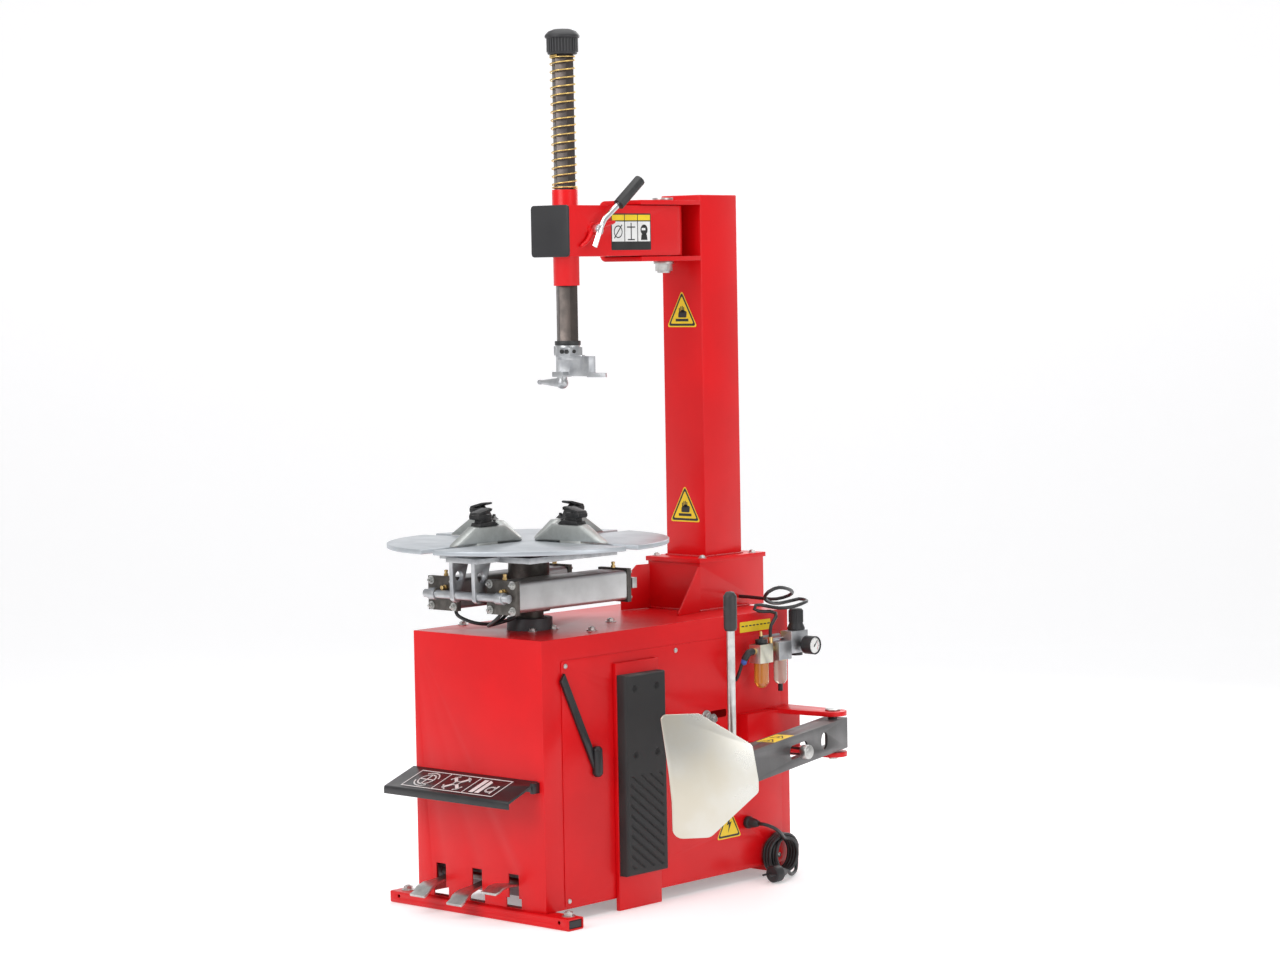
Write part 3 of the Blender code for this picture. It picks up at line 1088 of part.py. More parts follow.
def make_air_unit():
    """Lubricator, filter and regulator in line, with the gauge on the regulator's outer face."""
    half_y, half_x = UNIT_HALF, UNIT_DEPTH / 2
    lub_low = (UNIT_X - half_x, LUB_Y - half_y, UNIT_LOW)
    lub = box("air_lubricator", lub_low, (UNIT_X + half_x, LUB_Y + half_y, UNIT_TOP), CAST)
    profile = [(0, 0.125), (0.003, 0.124), (0.0045, 0.114), (0.0045, 0.108), (0.013, 0.107), (0.013, 0.099)]
    profile += [(0.011, 0.095), (0.011, 0.060), (0.0165, 0.056), (0.0165, 0.012), (0.010, 0.003), (0.004, 0), (0, 0)]
    join(lub, turned("lub_bowl", profile, (UNIT_X, LUB_Y, UNIT_LOW - 0.056), "Z", None, None, steps=20))
    tee_length = FILTER_Y - half_y - GAP - (LUB_Y + half_y) + 0.004
    tee = (UNIT_X, LUB_Y + half_y - 0.004, UNIT_LOW + 0.027)
    join(lub, rod("tee", tee, tee_length, 0.0065, "Y_BACK", sides=16))
    join(lub, rod("tee_stub", (UNIT_X, tee_y(), UNIT_LOW + 0.027), TEE_TOP - UNIT_LOW - 0.027, 0.006, "Z", sides=16))
    outlet = (UNIT_X, LUB_Y - half_y - 0.007, UNIT_LOW + 0.0265)
    join(lub, rod("lub_outlet", outlet, 0.012, 0.007, "Y_BACK", sides=16))
    filter_low = (UNIT_X - half_x, FILTER_Y - half_y, UNIT_LOW + 0.001)
    filt = box("air_filter", filter_low, (UNIT_X + half_x, FILTER_Y + half_y, UNIT_TOP), ALUMINIUM)
    profile = [(0, 0.080), (0.0150, 0.080), (0.0150, 0.026), (0.010, 0.017), (0.0055, 0.016), (0.0055, 0), (0, 0)]
    join(filt, turned("filter_bowl", profile, (UNIT_X, FILTER_Y, UNIT_LOW - 0.069), "Z", None, None, steps=20))
    reg_half = REG_Y - FILTER_Y - half_y - GAP
    reg_low = (UNIT_X - half_x, REG_Y - reg_half, REG_LOW)
    reg = box("air_regulator", reg_low, (UNIT_X + half_x, REG_Y + 0.0215, REG_TOP), ALUMINIUM)
    join(reg, rod("reg_plug", (UNIT_X, REG_Y, REG_LOW - 0.007), 0.010, 0.014, "Z", sides=20))
    wall = panel_face()
    shelf_low = (wall, REG_Y - 0.070, UNIT_TOP + 0.004)
    join(reg, box("unit_shelf", shelf_low, (UNIT_X - 0.008, REG_Y + 0.010, UNIT_TOP + 0.0065)))
    foot_low = (wall, REG_Y - 0.066, UNIT_TOP - 0.022)
    join(reg, box("unit_foot", foot_low, (wall + 0.003, REG_Y - 0.004, UNIT_TOP + 0.010)))
    knob_axis = axis_empty("knob_axis", (UNIT_X, REG_Y, REG_TOP), machine)
    profile = [(0, 0.047), (0.013, 0.047), (0.0155, 0.044), (0.0155, 0.014), (0.0195, 0.005), (0.0195, 0), (0, 0)]
    turned("regulator_knob", profile, (UNIT_X, REG_Y, REG_TOP + GAP), "Z", BLACK, knob_axis, steps=20)
    face = UNIT_X + half_x + GAP
    length = GAUGE_X - face
    rim = GAUGE_R - 0.0027
    profile = [(0, length - 0.0025), (rim, length - 0.0025), (rim, length), (GAUGE_R, length)]
    profile += [(GAUGE_R, length - 0.026), (0.016, length - 0.030), (0.006, length - 0.030), (0.006, 0), (0, 0)]
    turned("pressure_gauge", profile, (face, REG_Y, GAUGE_Z), "X", BLACK, None, steps=24)
    needle_axis = axis_empty("needle_axis", (face, REG_Y, GAUGE_Z), machine)
    needle = [(-0.0012, -0.004), (0.0012, -0.004), (0.0004, 0.0145), (-0.0004, 0.0145)]
    hand = plate("gauge_needle", [needle], 0.0008, (0, 0, 0), "X", BLACK, needle_axis)
    place = Matrix.Translation((GAUGE_X - 0.0025 + GAP + 0.0004, REG_Y, GAUGE_Z))
    hand.matrix_basis = place @ Matrix.Rotation(math.radians(NEEDLE_REST), 4, "X") @ TURN_TO["X"]
    make_hoses()


def tee_y():
    """The tee stands midway between lubricator and filter."""
    return (LUB_Y + FILTER_Y) / 2


def make_hoses():
    """The supply hose, looped above the unit before it enters the tower, and the lubricator's outlet."""
    stub = (UNIT_X, tee_y(), TEE_TOP + GAP)
    route = [stub, (UNIT_X, tee_y(), stub[2] + 0.014), (UNIT_X - 0.002, tee_y() + 0.006, stub[2] + 0.026)]
    route += [(UNIT_X + u, LUB_Y + v, UNIT_TOP + w) for u, v, w in HOSE_LOOPS]
    side = BASE_HALF + GAP
    route += [(side + 0.026, 0.596, 0.614), (side + 0.013, 0.596, 0.614), (side, 0.596, 0.614)]
    tube("air_hose", smooth_route(route, 0.013), HOSE_R, RUBBER)
    wall = panel_face()
    z = UNIT_LOW + 0.0265
    start = LUB_Y - UNIT_HALF - 0.007 - GAP
    route = [(UNIT_X, start, z), (UNIT_X, start - 0.010, z), (UNIT_X - 0.002, start - 0.018, z - 0.005)]
    route += [(UNIT_X - 0.008, start - 0.025, z - 0.022), (UNIT_X - 0.016, start - 0.025, z - 0.040)]
    route += [(UNIT_X - 0.026, start - 0.022, z - 0.056), (wall + 0.012, start - 0.022, z - 0.064)]
    route += [(wall, start - 0.022, z - 0.064)]
    tube("lubricator_hose", smooth_route(route, 0.009), HOSE_R, RUBBER)


def make_power_lead():
    """Gland in the side panel, the free lead from it, its coiled length and the plug."""
    x = panel_face()
    profile = [(0, GLAND_LENGTH), (0.006, GLAND_LENGTH), (0.010, GLAND_LENGTH - 0.012), (0.0115, 0.010)]
    profile += [(0.0135, 0.009), (0.0135, 0), (0, 0)]
    turned("cable_gland", profile, (x, GLAND_Y, GLAND_Z), "X", BLACK, None, steps=20)
    exit_x = x + GLAND_LENGTH + GAP
    hank = (HANK_X, HANK_Y, HANK_R + 0.001)
    face = HANK_X + HANK_WIDTH / 2 + GAP
    land_y, land_z = HANK_Y - 0.020, 0.078
    route = [(exit_x, GLAND_Y, GLAND_Z), (exit_x + 0.008, GLAND_Y, GLAND_Z), (exit_x + 0.016, GLAND_Y, GLAND_Z)]
    route += [(exit_x + 0.038, GLAND_Y + 0.014, GLAND_Z - 0.010), (exit_x + 0.044, GLAND_Y + 0.040, GLAND_Z - 0.032)]
    route += [(face + 0.020, land_y, land_z), (face + 0.010, land_y, land_z), (face, land_y, land_z)]
    tube("power_lead", smooth_route(route, 0.010), LEAD_R, RUBBER)
    half = HANK_WIDTH / 2
    mid_r = (HANK_R + HANK_HOLE_R) / 2
    ring = [(mid_r, half), (HANK_R, half - 0.004), (HANK_R, 0.004 - half), (mid_r, -half)]
    ring += [(HANK_HOLE_R, 0.004 - half), (HANK_HOLE_R, half - 0.004), (mid_r, half)]
    turned("power_hank", ring, hank, "X", RUBBER, None, steps=24)
    plug_start = (HANK_X + HANK_WIDTH / 2 + 0.020, HANK_Y - 0.085, 0.0195)
    profile = [(0, 0.046), (0.007, 0.046), (0.011, 0.034), (0.0185, 0.022), (0.0185, 0.002), (0.016, 0), (0, 0)]
    plug = turned("power_plug", profile, plug_start, "Y_BACK", BLACK, None, steps=20)
    for side in (-1, 1):
        pin = (plug_start[0] + side * 0.0095, plug_start[1] - 0.019, plug_start[2])
        join(plug, rod(f"plug_pin_{side}", pin, 0.021, 0.0024, "Y_BACK", sides=10))


def make_lever():
    """Flat bead lever resting against the right side panel."""
    x = panel_face() + 0.001
    top, bottom = Vector(LEVER_TOP), Vector(LEVER_LOW)
    along = (bottom - top).normalized()
    side = Vector((-along.y, along.x)) * LEVER_WIDTH / 2
    heading = math.degrees(math.atan2(along.y, along.x))
    nose = arc(bottom.x, bottom.y, LEVER_WIDTH / 2, heading - 90, heading + 90, 6)
    outline = [tuple(top + side - along * 0.004), *reversed(nose), tuple(top - side + along * 0.006)]
    plate("bead_lever", [outline], LEVER_THICK, (x + LEVER_THICK / 2, 0, 0), "X", MAST_STEEL)


clear_scene()
parts = collection("tyre_changer")
cutters = collection("cutters", hidden=True)
machine = bpy.data.objects.new("machine", None)
machine.location = (TABLE_X, TABLE_Y, 0)
parts.objects.link(machine)
make_cabinet()
make_base_bar()
make_panel()
make_pad()
make_guard()
make_pedals()
make_turntable()
make_drive()
make_column()
make_bracket()
make_pivot_bolt()
make_arm()
make_breaker()
make_air_unit()
make_power_lead()
make_lever()
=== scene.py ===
# Workshop tyre changer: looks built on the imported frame
import json
import math
import bmesh
import bpy
from mathutils import Matrix, Vector, noise


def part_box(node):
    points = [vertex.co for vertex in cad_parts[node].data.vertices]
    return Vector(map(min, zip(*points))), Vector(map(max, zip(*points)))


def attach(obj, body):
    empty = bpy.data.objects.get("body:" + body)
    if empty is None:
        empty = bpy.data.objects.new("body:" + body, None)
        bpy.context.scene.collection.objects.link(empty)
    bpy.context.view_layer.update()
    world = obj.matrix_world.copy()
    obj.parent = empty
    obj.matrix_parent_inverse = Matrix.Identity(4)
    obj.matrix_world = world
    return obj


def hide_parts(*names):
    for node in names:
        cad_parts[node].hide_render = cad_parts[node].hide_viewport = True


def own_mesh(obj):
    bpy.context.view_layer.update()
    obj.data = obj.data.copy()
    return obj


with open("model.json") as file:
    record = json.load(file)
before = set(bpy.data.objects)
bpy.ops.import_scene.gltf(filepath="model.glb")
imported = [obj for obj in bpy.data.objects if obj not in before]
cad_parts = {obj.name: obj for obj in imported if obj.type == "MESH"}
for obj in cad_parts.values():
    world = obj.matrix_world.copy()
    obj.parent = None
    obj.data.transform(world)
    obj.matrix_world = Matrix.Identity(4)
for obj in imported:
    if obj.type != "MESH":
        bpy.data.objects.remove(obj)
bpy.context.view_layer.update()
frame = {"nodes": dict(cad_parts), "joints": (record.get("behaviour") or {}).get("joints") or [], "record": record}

scene = bpy.context.scene
record = frame["record"]
slotOf = {s["node"]: s["material_slot"] for s in record["subparts"]}
bodyOf = {n: b for b, names in record["behaviour"]["bodies"].items() for n in names}
jointOf = {j["name"]: j for j in frame["joints"]}
tableAxis = Vector(jointOf["turntable_spin"]["pos_m"])
print("frame loaded,", len(frame["nodes"]), "nodes")


def at(x, y, z):
    # sizes are measured from the turntable's axis
    return Vector((tableAxis.x + x, tableAxis.y + y, z))


def linked(name, data):
    obj = bpy.data.objects.new(name, data)
    scene.collection.objects.link(obj)
    return obj


def meshOf(bm, name):
    mesh = bpy.data.meshes.new(name)
    bm.to_mesh(mesh)
    bm.free()
    return mesh


# camera and studio
cameraSet = {"azimuth": 42.36, "elevation": 3.643, "roll": -0.978, "distance": 6.9351,
             "aside": 0.2395, "above": 0.008, "lookHeight": 0.900, "lens": 91.95}


def makeCamera(s):
    a, e, r = (math.radians(s[k]) for k in ("azimuth", "elevation", "roll"))
    right = Vector((math.cos(a), math.sin(a), 0))
    back = Vector((math.sin(a) * math.cos(e), -math.cos(a) * math.cos(e), math.sin(e)))
    up = back.cross(right)
    turnedRight = right * math.cos(r) + up * math.sin(r)
    turnedUp = up * math.cos(r) - right * math.sin(r)
    place = at(0, 0, s["lookHeight"]) + back * s["distance"]
    place += turnedRight * s["aside"] + turnedUp * s["above"]
    data = bpy.data.cameras.new("studioCamera")
    data.lens = s["lens"]
    data.sensor_width = 36
    data.clip_end = 60
    cam = linked("studioCamera", data)
    cam.matrix_world = Matrix((
        (turnedRight.x, turnedUp.x, back.x, place.x),
        (turnedRight.y, turnedUp.y, back.y, place.y),
        (turnedRight.z, turnedUp.z, back.z, place.z),
        (0, 0, 0, 1)))
    scene.camera = cam
    return right, back


viewRight, viewBack = makeCamera(cameraSet)

studioSet = {"worldStrength": 0.55, "keyPower": 78, "fillPower": 40, "topPower": 48, "rimPower": 30}


def areaLight(name, place, aim, size, power, tint=(1, 1, 1)):
    data = bpy.data.lights.new(name, "AREA")
    data.shape = "RECTANGLE"
    data.size, data.size_y = size
    data.energy = power
    data.color = tint
    lamp = linked(name, data)
    lamp.location = place
    lamp.rotation_euler = (Vector(aim) - Vector(place)).to_track_quat("-Z", "Y").to_euler()
    return lamp


def makeStudio(s):
    world = bpy.data.worlds.new("studio")
    world.use_nodes = True
    sky = world.node_tree.nodes["Background"]
    sky.inputs["Color"].default_value = (1.0, 1.0, 1.0, 1)
    sky.inputs["Strength"].default_value = s["worldStrength"]
    scene.world = world
    centre = Vector((0, 0, 0.9))
    side = viewRight
    areaLight("keySoftbox", centre + viewBack * 2.6 - side * 2.6 + Vector((0, 0, 1.7)), centre, (2.2, 2.6),
              s["keyPower"])
    areaLight("fillSoftbox", centre + viewBack * 2.8 + side * 2.9 + Vector((0, 0, 0.6)), centre, (2.0, 2.8),
              s["fillPower"])
    areaLight("topSoftbox", centre + Vector((0, 0, 2.6)), centre, (2.8, 2.8), s["topPower"])
    areaLight("rimSoftbox", centre - viewBack * 2.4 + side * 1.2 + Vector((0, 0, 1.6)), centre, (1.6, 2.2),
              s["rimPower"])
    mesh = bpy.data.meshes.new("floor")
    reach, rise, bend = 9.0, 5.0, 1.6
    rows = [(-reach, 0.0)] + [(reach * 0.5 + bend * math.sin(t), bend - bend * math.cos(t))
                              for t in [i * math.pi / 24 for i in range(13)]] + [(reach * 0.5 + bend, rise)]
    points = []
    for u, z in rows:
        for w in (-reach, reach):
            p = -viewBack * u + side * w
            points.append((p.x, p.y, z - 0.0005))
    faces = [(2 * i, 2 * i + 1, 2 * i + 3, 2 * i + 2) for i in range(len(rows) - 1)]
    mesh.from_pydata(points, [], faces)
    mesh.polygons.foreach_set("use_smooth", [True] * len(mesh.polygons))
    floor = linked("floor", mesh)
    look = bpy.data.materials.new("paperFloor")
    look.use_nodes = True
    shader = look.node_tree.nodes["Principled BSDF"]
    shader.inputs["Base Color"].default_value = (0.84, 0.84, 0.85, 1)
    shader.inputs["Roughness"].default_value = 0.85
    shader.inputs["Emission Color"].default_value = (1, 1, 1, 1)
    shader.inputs["Emission Strength"].default_value = 0.30
    mesh.materials.append(look)
    scene.view_settings.view_transform = "Standard"


makeStudio(studioSet)
print("camera and studio ready")


# shader groups shared by the finishes
def newGroup(name, inputs, outputs):
    tree = bpy.data.node_groups.new(name, "ShaderNodeTree")
    for label, value in inputs:
        socket = tree.interface.new_socket(label, in_out="INPUT", socket_type="NodeSocketFloat")
        socket.default_value = value
    for label, kind in outputs:
        tree.interface.new_socket(label, in_out="OUTPUT", socket_type=kind)
    return tree, tree.nodes.new("NodeGroupInput"), tree.nodes.new("NodeGroupOutput")


def addNode(tree, kind, inputs=None, **settings):
    # each input takes a value, or the output that feeds it
    node = tree.nodes.new(kind)
    for label, value in settings.items():
        setattr(node, label, value)
    for label, value in (inputs or {}).items():
        if hasattr(value, "is_output"):
            tree.links.new(value, node.inputs[label])
        elif value is not None:
            node.inputs[label].default_value = value
    return node


def mathNode(tree, kind, a, b=None, clamp=False):
    return addNode(tree, "ShaderNodeMath", {0: a, 1: b}, operation=kind, use_clamp=clamp).outputs[0]


def noiseNode(tree, scale, detail, vector, rough=0.55):
    return addNode(tree, "ShaderNodeTexNoise", {"Detail": detail, "Roughness": rough, "Scale": scale,
                                                "Vector": vector}).outputs["Fac"]


def rampNode(tree, value, low, high):
    return addNode(tree, "ShaderNodeMapRange", {"From Min": low, "From Max": high, "Value": value},
                   interpolation_type="SMOOTHSTEP").outputs["Result"]


def objectCoord(tree):
    return tree.nodes.new("ShaderNodeTexCoord").outputs["Object"]


def makeGrain():
    tree, inn, out = newGroup("surfaceGrain", [("Broad", 9.0), ("Fine", 420.0), ("Mix", 0.5)],
                              [("Variation", "NodeSocketFloat"), ("Height", "NodeSocketFloat")])
    coord = objectCoord(tree)
    broad = noiseNode(tree, inn.outputs["Broad"], 5, coord)
    fine = noiseNode(tree, inn.outputs["Fine"], 2, coord, 0.5)
    tree.links.new(rampNode(tree, broad, 0.32, 0.68), out.inputs["Variation"])
    share = mathNode(tree, "MULTIPLY", fine, inn.outputs["Mix"])
    rest = mathNode(tree, "MULTIPLY", broad, mathNode(tree, "SUBTRACT", 1.0, inn.outputs["Mix"]))
    tree.links.new(mathNode(tree, "ADD", share, rest), out.inputs["Height"])
    return tree


def makeEdgeWear():
    tree, inn, out = newGroup("edgeWear", [("Radius", 0.002), ("Amount", 0.6), ("Patches", 60.0)],
                              [("Mask", "NodeSocketFloat")])
    bevel = addNode(tree, "ShaderNodeBevel", {"Radius": inn.outputs["Radius"]}, samples=4)
    geometry = addNode(tree, "ShaderNodeNewGeometry")
    dot = addNode(tree, "ShaderNodeVectorMath", {0: bevel.outputs["Normal"], 1: geometry.outputs["Normal"]},
                  operation="DOT_PRODUCT")
    edge = rampNode(tree, mathNode(tree, "SUBTRACT", 1.0, dot.outputs["Value"]), 0.01, 0.12)
    patch = rampNode(tree, noiseNode(tree, inn.outputs["Patches"], 6, objectCoord(tree), 0.7), 0.46, 0.62)
    worn = mathNode(tree, "MULTIPLY", mathNode(tree, "MULTIPLY", edge, patch), inn.outputs["Amount"], True)
    tree.links.new(worn, out.inputs["Mask"])
    return tree


def makeDust():
    tree, inn, out = newGroup("dust", [("Amount", 0.25), ("Patches", 14.0)], [("Mask", "NodeSocketFloat")])
    geometry = addNode(tree, "ShaderNodeNewGeometry")
    split = addNode(tree, "ShaderNodeSeparateXYZ", {0: geometry.outputs["Normal"]})
    up = mathNode(tree, "POWER", mathNode(tree, "MAXIMUM", split.outputs["Z"], 0.0), 3.0)
    patch = rampNode(tree, noiseNode(tree, inn.outputs["Patches"], 7, objectCoord(tree), 0.65), 0.35, 0.7)
    mask = mathNode(tree, "MULTIPLY", mathNode(tree, "MULTIPLY", up, patch), inn.outputs["Amount"], True)
    tree.links.new(mask, out.inputs["Mask"])
    return tree


def makeBrushed():
    tree, inn, out = newGroup("machiningLines", [("Along", 6.0), ("Across", 900.0)],
                              [("Lines", "NodeSocketFloat")])
    across = inn.outputs["Across"]
    stretch = addNode(tree, "ShaderNodeCombineXYZ", {"X": across, "Y": inn.outputs["Along"], "Z": across})
    scaled = addNode(tree, "ShaderNodeVectorMath", {0: objectCoord(tree), 1: stretch.outputs[0]},
                     operation="MULTIPLY")
    tree.links.new(noiseNode(tree, 1.0, 3, scaled.outputs[0]), out.inputs["Lines"])
    return tree


groups = {"grain": makeGrain(), "wear": makeEdgeWear(), "dust": makeDust(), "lines": makeBrushed()}


def groupNode(tree, key, **values):
    return addNode(tree, "ShaderNodeGroup", values, node_tree=groups[key])


def blendColour(tree, mask, a, b):
    first, second = (value if hasattr(value, "is_output") else (*value, 1) for value in (a, b))
    mix = addNode(tree, "ShaderNodeMix", {"Factor": mask, 6: first, 7: second}, data_type="RGBA")
    return mix.outputs[2]


def finishLook(name, s):
    look = bpy.data.materials.new(name)
    look.use_nodes = True
    tree = look.node_tree
    shader = tree.nodes["Principled BSDF"]
    grain = groupNode(tree, "grain", Broad=s.get("broad", 9.0), Fine=s.get("fine", 420.0),
                      Mix=s.get("mix", 0.5))
    colour = blendColour(tree, grain.outputs["Variation"], s["colour"], s["shade"])
    vary = mathNode(tree, "MULTIPLY", grain.outputs["Variation"], s.get("roughVary", 0.1))
    rough = mathNode(tree, "ADD", vary, s["rough"])
    height = grain.outputs["Height"]
    if s.get("lines"):
        lines = groupNode(tree, "lines", Along=s.get("along", 6.0), Across=s.get("across", 900.0))
        lines = lines.outputs["Lines"]
        rough = mathNode(tree, "ADD", rough, mathNode(tree, "MULTIPLY", lines, s["lines"]))
        height = mathNode(tree, "ADD", height, mathNode(tree, "MULTIPLY", lines, 0.7))
    if s.get("wear"):
        wear = groupNode(tree, "wear", Radius=s.get("wearRadius", 0.0018), Amount=s["wear"],
                         Patches=70.0).outputs["Mask"]
        colour = blendColour(tree, wear, colour, s["wearColour"])
        rough = mathNode(tree, "ADD", rough, mathNode(tree, "MULTIPLY", wear, 0.15), True)
    if s.get("dust"):
        dust = groupNode(tree, "dust", Amount=s["dust"]).outputs["Mask"]
        colour = blendColour(tree, dust, colour, (0.42, 0.40, 0.37))
        rough = mathNode(tree, "ADD", rough, mathNode(tree, "MULTIPLY", dust, 0.4), True)
    tree.links.new(colour, shader.inputs["Base Color"])
    tree.links.new(rough, shader.inputs["Roughness"])
    for label, key in (("Metallic", "metal"), ("Coat Weight", "coat"), ("Coat Roughness", "coatRough"),
                       ("Transmission Weight", "glass"), ("IOR", "ior"), ("Specular IOR Level", "specular")):
        if key in s:
            shader.inputs[label].default_value = s[key]
    bump = addNode(tree, "ShaderNodeBump", {"Strength": s.get("bump", 0.15), "Distance": 0.0006,
                                            "Height": height})
    tree.links.new(bump.outputs["Normal"], shader.inputs["Normal"])
    return look


looks = {
    "redPaint": {"colour": (0.690, 0.0022, 0.0055), "shade": (0.630, 0.0020, 0.0048), "rough": 0.34,
        "roughVary": 0.05, "coat": 0.12, "coatRough": 0.16, "broad": 7, "fine": 300, "mix": 0.97,
        "bump": 0.05, "wear": 0.30, "wearColour": (0.34, 0.010, 0.012), "specular": 0.28},
    "darkPaint": {"colour": (0.046, 0.043, 0.044), "shade": (0.034, 0.032, 0.032), "rough": 0.36,
        "coat": 0.15, "coatRough": 0.2, "specular": 0.4, "fine": 340, "mix": 0.8, "bump": 0.16,
        "wear": 0.5, "wearColour": (0.24, 0.23, 0.22), "dust": 0.10},
    "padRubber": {"colour": (0.017, 0.017, 0.018), "shade": (0.028, 0.027, 0.027), "rough": 0.55,
        "roughVary": 0.15, "fine": 700, "bump": 0.22, "dust": 0.16, "specular": 0.4},
    "hoseRubber": {"colour": (0.014, 0.014, 0.015), "shade": (0.022, 0.022, 0.023), "rough": 0.34,
        "fine": 900, "bump": 0.08, "broad": 40},
    "zincSteel": {"colour": (0.60, 0.60, 0.58), "shade": (0.46, 0.46, 0.45), "rough": 0.26,
        "metal": 1.0, "broad": 60, "bump": 0.08, "lines": 0.10},
    "yellowZinc": {"colour": (0.66, 0.66, 0.63), "shade": (0.60, 0.56, 0.47), "rough": 0.24,
        "roughVary": 0.10, "metal": 1.0, "broad": 5, "fine": 500, "mix": 0.9, "bump": 0.03, "wear": 0.5,
        "wearRadius": 0.001, "wearColour": (0.80, 0.80, 0.79)},
    "oiledSteel": {"colour": (0.115, 0.095, 0.086), "shade": (0.075, 0.065, 0.060), "rough": 0.24,
        "roughVary": 0.14, "metal": 0.85, "broad": 26, "lines": 0.12, "along": 3.0, "bump": 0.10,
        "wear": 0.6, "wearColour": (0.36, 0.33, 0.30)},
    "chromePlate": {"colour": (0.78, 0.78, 0.79), "shade": (0.70, 0.70, 0.72), "rough": 0.06,
        "roughVary": 0.05, "metal": 1.0, "broad": 30, "bump": 0.02},
    "castAlloy": {"colour": (0.50, 0.51, 0.52), "shade": (0.38, 0.39, 0.41), "rough": 0.34,
        "roughVary": 0.12, "metal": 0.9, "broad": 45, "fine": 520, "mix": 0.7, "bump": 0.20,
        "wear": 0.4, "wearColour": (0.80, 0.80, 0.81)},
    "tableSteel": {"colour": (0.46, 0.49, 0.52), "shade": (0.41, 0.44, 0.47), "rough": 0.36,
        "roughVary": 0.08, "metal": 0.6, "broad": 14, "fine": 420, "mix": 0.9, "bump": 0.10,
        "wear": 0.7, "wearColour": (0.66, 0.67, 0.68)},
    "slideSteel": {"colour": (0.44, 0.46, 0.45), "shade": (0.36, 0.375, 0.365), "rough": 0.34,
        "metal": 0.8, "broad": 35, "lines": 0.12, "bump": 0.12, "wear": 0.6,
        "wearColour": (0.75, 0.75, 0.74)},
    "castIron": {"colour": (0.050, 0.050, 0.054), "shade": (0.034, 0.034, 0.037), "rough": 0.48,
        "metal": 0.2, "broad": 30, "fine": 380, "mix": 0.8, "bump": 0.35, "wear": 0.4,
        "wearColour": (0.16, 0.16, 0.16), "dust": 0.15},
    "blackOxide": {"colour": (0.020, 0.020, 0.022), "shade": (0.036, 0.035, 0.035), "rough": 0.38,
        "metal": 0.5, "broad": 80, "fine": 600, "bump": 0.25, "wear": 0.8, "wearRadius": 0.0012,
        "wearColour": (0.22, 0.21, 0.20)},
    "springWire": {"colour": (0.72, 0.50, 0.17), "shade": (0.60, 0.42, 0.16), "rough": 0.20,
        "metal": 1.0, "broad": 120, "bump": 0.05},
    "blackEnamel": {"colour": (0.010, 0.010, 0.012), "shade": (0.018, 0.017, 0.018), "rough": 0.32,
        "coat": 0.2, "coatRough": 0.25, "broad": 20, "fine": 420, "mix": 0.9, "bump": 0.10, "wear": 0.6,
        "wearColour": (0.10, 0.10, 0.10), "specular": 0.4},
    "paleZinc": {"colour": (0.66, 0.64, 0.52), "shade": (0.58, 0.57, 0.50), "rough": 0.30, "metal": 0.9,
        "broad": 50, "fine": 600, "mix": 0.8, "bump": 0.15},
    "tubeAlloy": {"colour": (0.60, 0.60, 0.60), "shade": (0.50, 0.50, 0.50), "rough": 0.30,
        "metal": 0.95, "broad": 14, "lines": 0.14, "along": 4.0, "across": 500.0, "bump": 0.08,
        "wear": 0.5, "wearColour": (0.78, 0.78, 0.78)},
    "darkCasting": {"colour": (0.115, 0.105, 0.095), "shade": (0.075, 0.068, 0.062), "rough": 0.42,
        "metal": 0.7, "broad": 60, "fine": 500, "mix": 0.8, "bump": 0.3, "wear": 0.8,
        "wearColour": (0.36, 0.34, 0.31)},
    "blackPlastic": {"colour": (0.016, 0.016, 0.018), "shade": (0.022, 0.022, 0.024), "rough": 0.40,
        "fine": 900, "bump": 0.12, "specular": 0.45},
}
slotLook = {"paint": "redPaint", "grey_paint": "darkPaint", "rubber": "padRubber", "hose": "hoseRubber",
            "steel": "zincSteel", "zinc": "yellowZinc", "mast_steel": "oiledSteel", "chrome": "chromePlate",
            "alloy": "castAlloy", "cast": "tableSteel", "iron": "castIron", "claw": "blackOxide",
            "brass": "springWire", "black": "blackPlastic"}
materials = {name: finishLook(name, values) for name, values in looks.items()}
print("finishes ready:", len(materials))


# mesh helpers
def placeMesh(name, bm, look, body, sharp=32, replaced=()):
    return placePiece(name, meshOf(bm, name), look, body, sharp, replaced)


def placePiece(name, mesh, look, body, sharp=32, replaced=()):
    mesh.polygons.foreach_set("use_smooth", [True] * len(mesh.polygons))
    mesh.set_sharp_from_angle(angle=math.radians(sharp))
    if look is not None:
        mesh.materials.clear()
        mesh.materials.append(materials[look])
    piece = linked(name, mesh)
    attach(piece, body)
    if replaced:
        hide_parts(*replaced)
    return piece


def applied(obj):
    # the modified object as a plain mesh, and the object gone
    bpy.context.view_layer.update()
    mesh = bpy.data.meshes.new_from_object(obj.evaluated_get(bpy.context.evaluated_depsgraph_get()))
    bpy.data.objects.remove(obj)
    return mesh


def bevelled(mesh, width, segments=2, angle=30):
    obj = linked("work", mesh)
    mod = obj.modifiers.new("Bevel", "BEVEL")
    mod.width = width
    mod.segments = segments
    mod.limit_method = "ANGLE"
    mod.angle_limit = math.radians(angle)
    mod.use_clamp_overlap = True
    return applied(obj)


# power lead: gland, free length, coil, plug
leadSet = {"radius": 0.004, "glandY": 0.4775, "glandZ": 0.130, "hankY": 0.570, "hankZ": 0.049, "hankX": 0.214,
           "innerR": 0.036, "outerR": 0.044, "pitch": 0.0081, "turns": 4, "stepsPerTurn": 26}


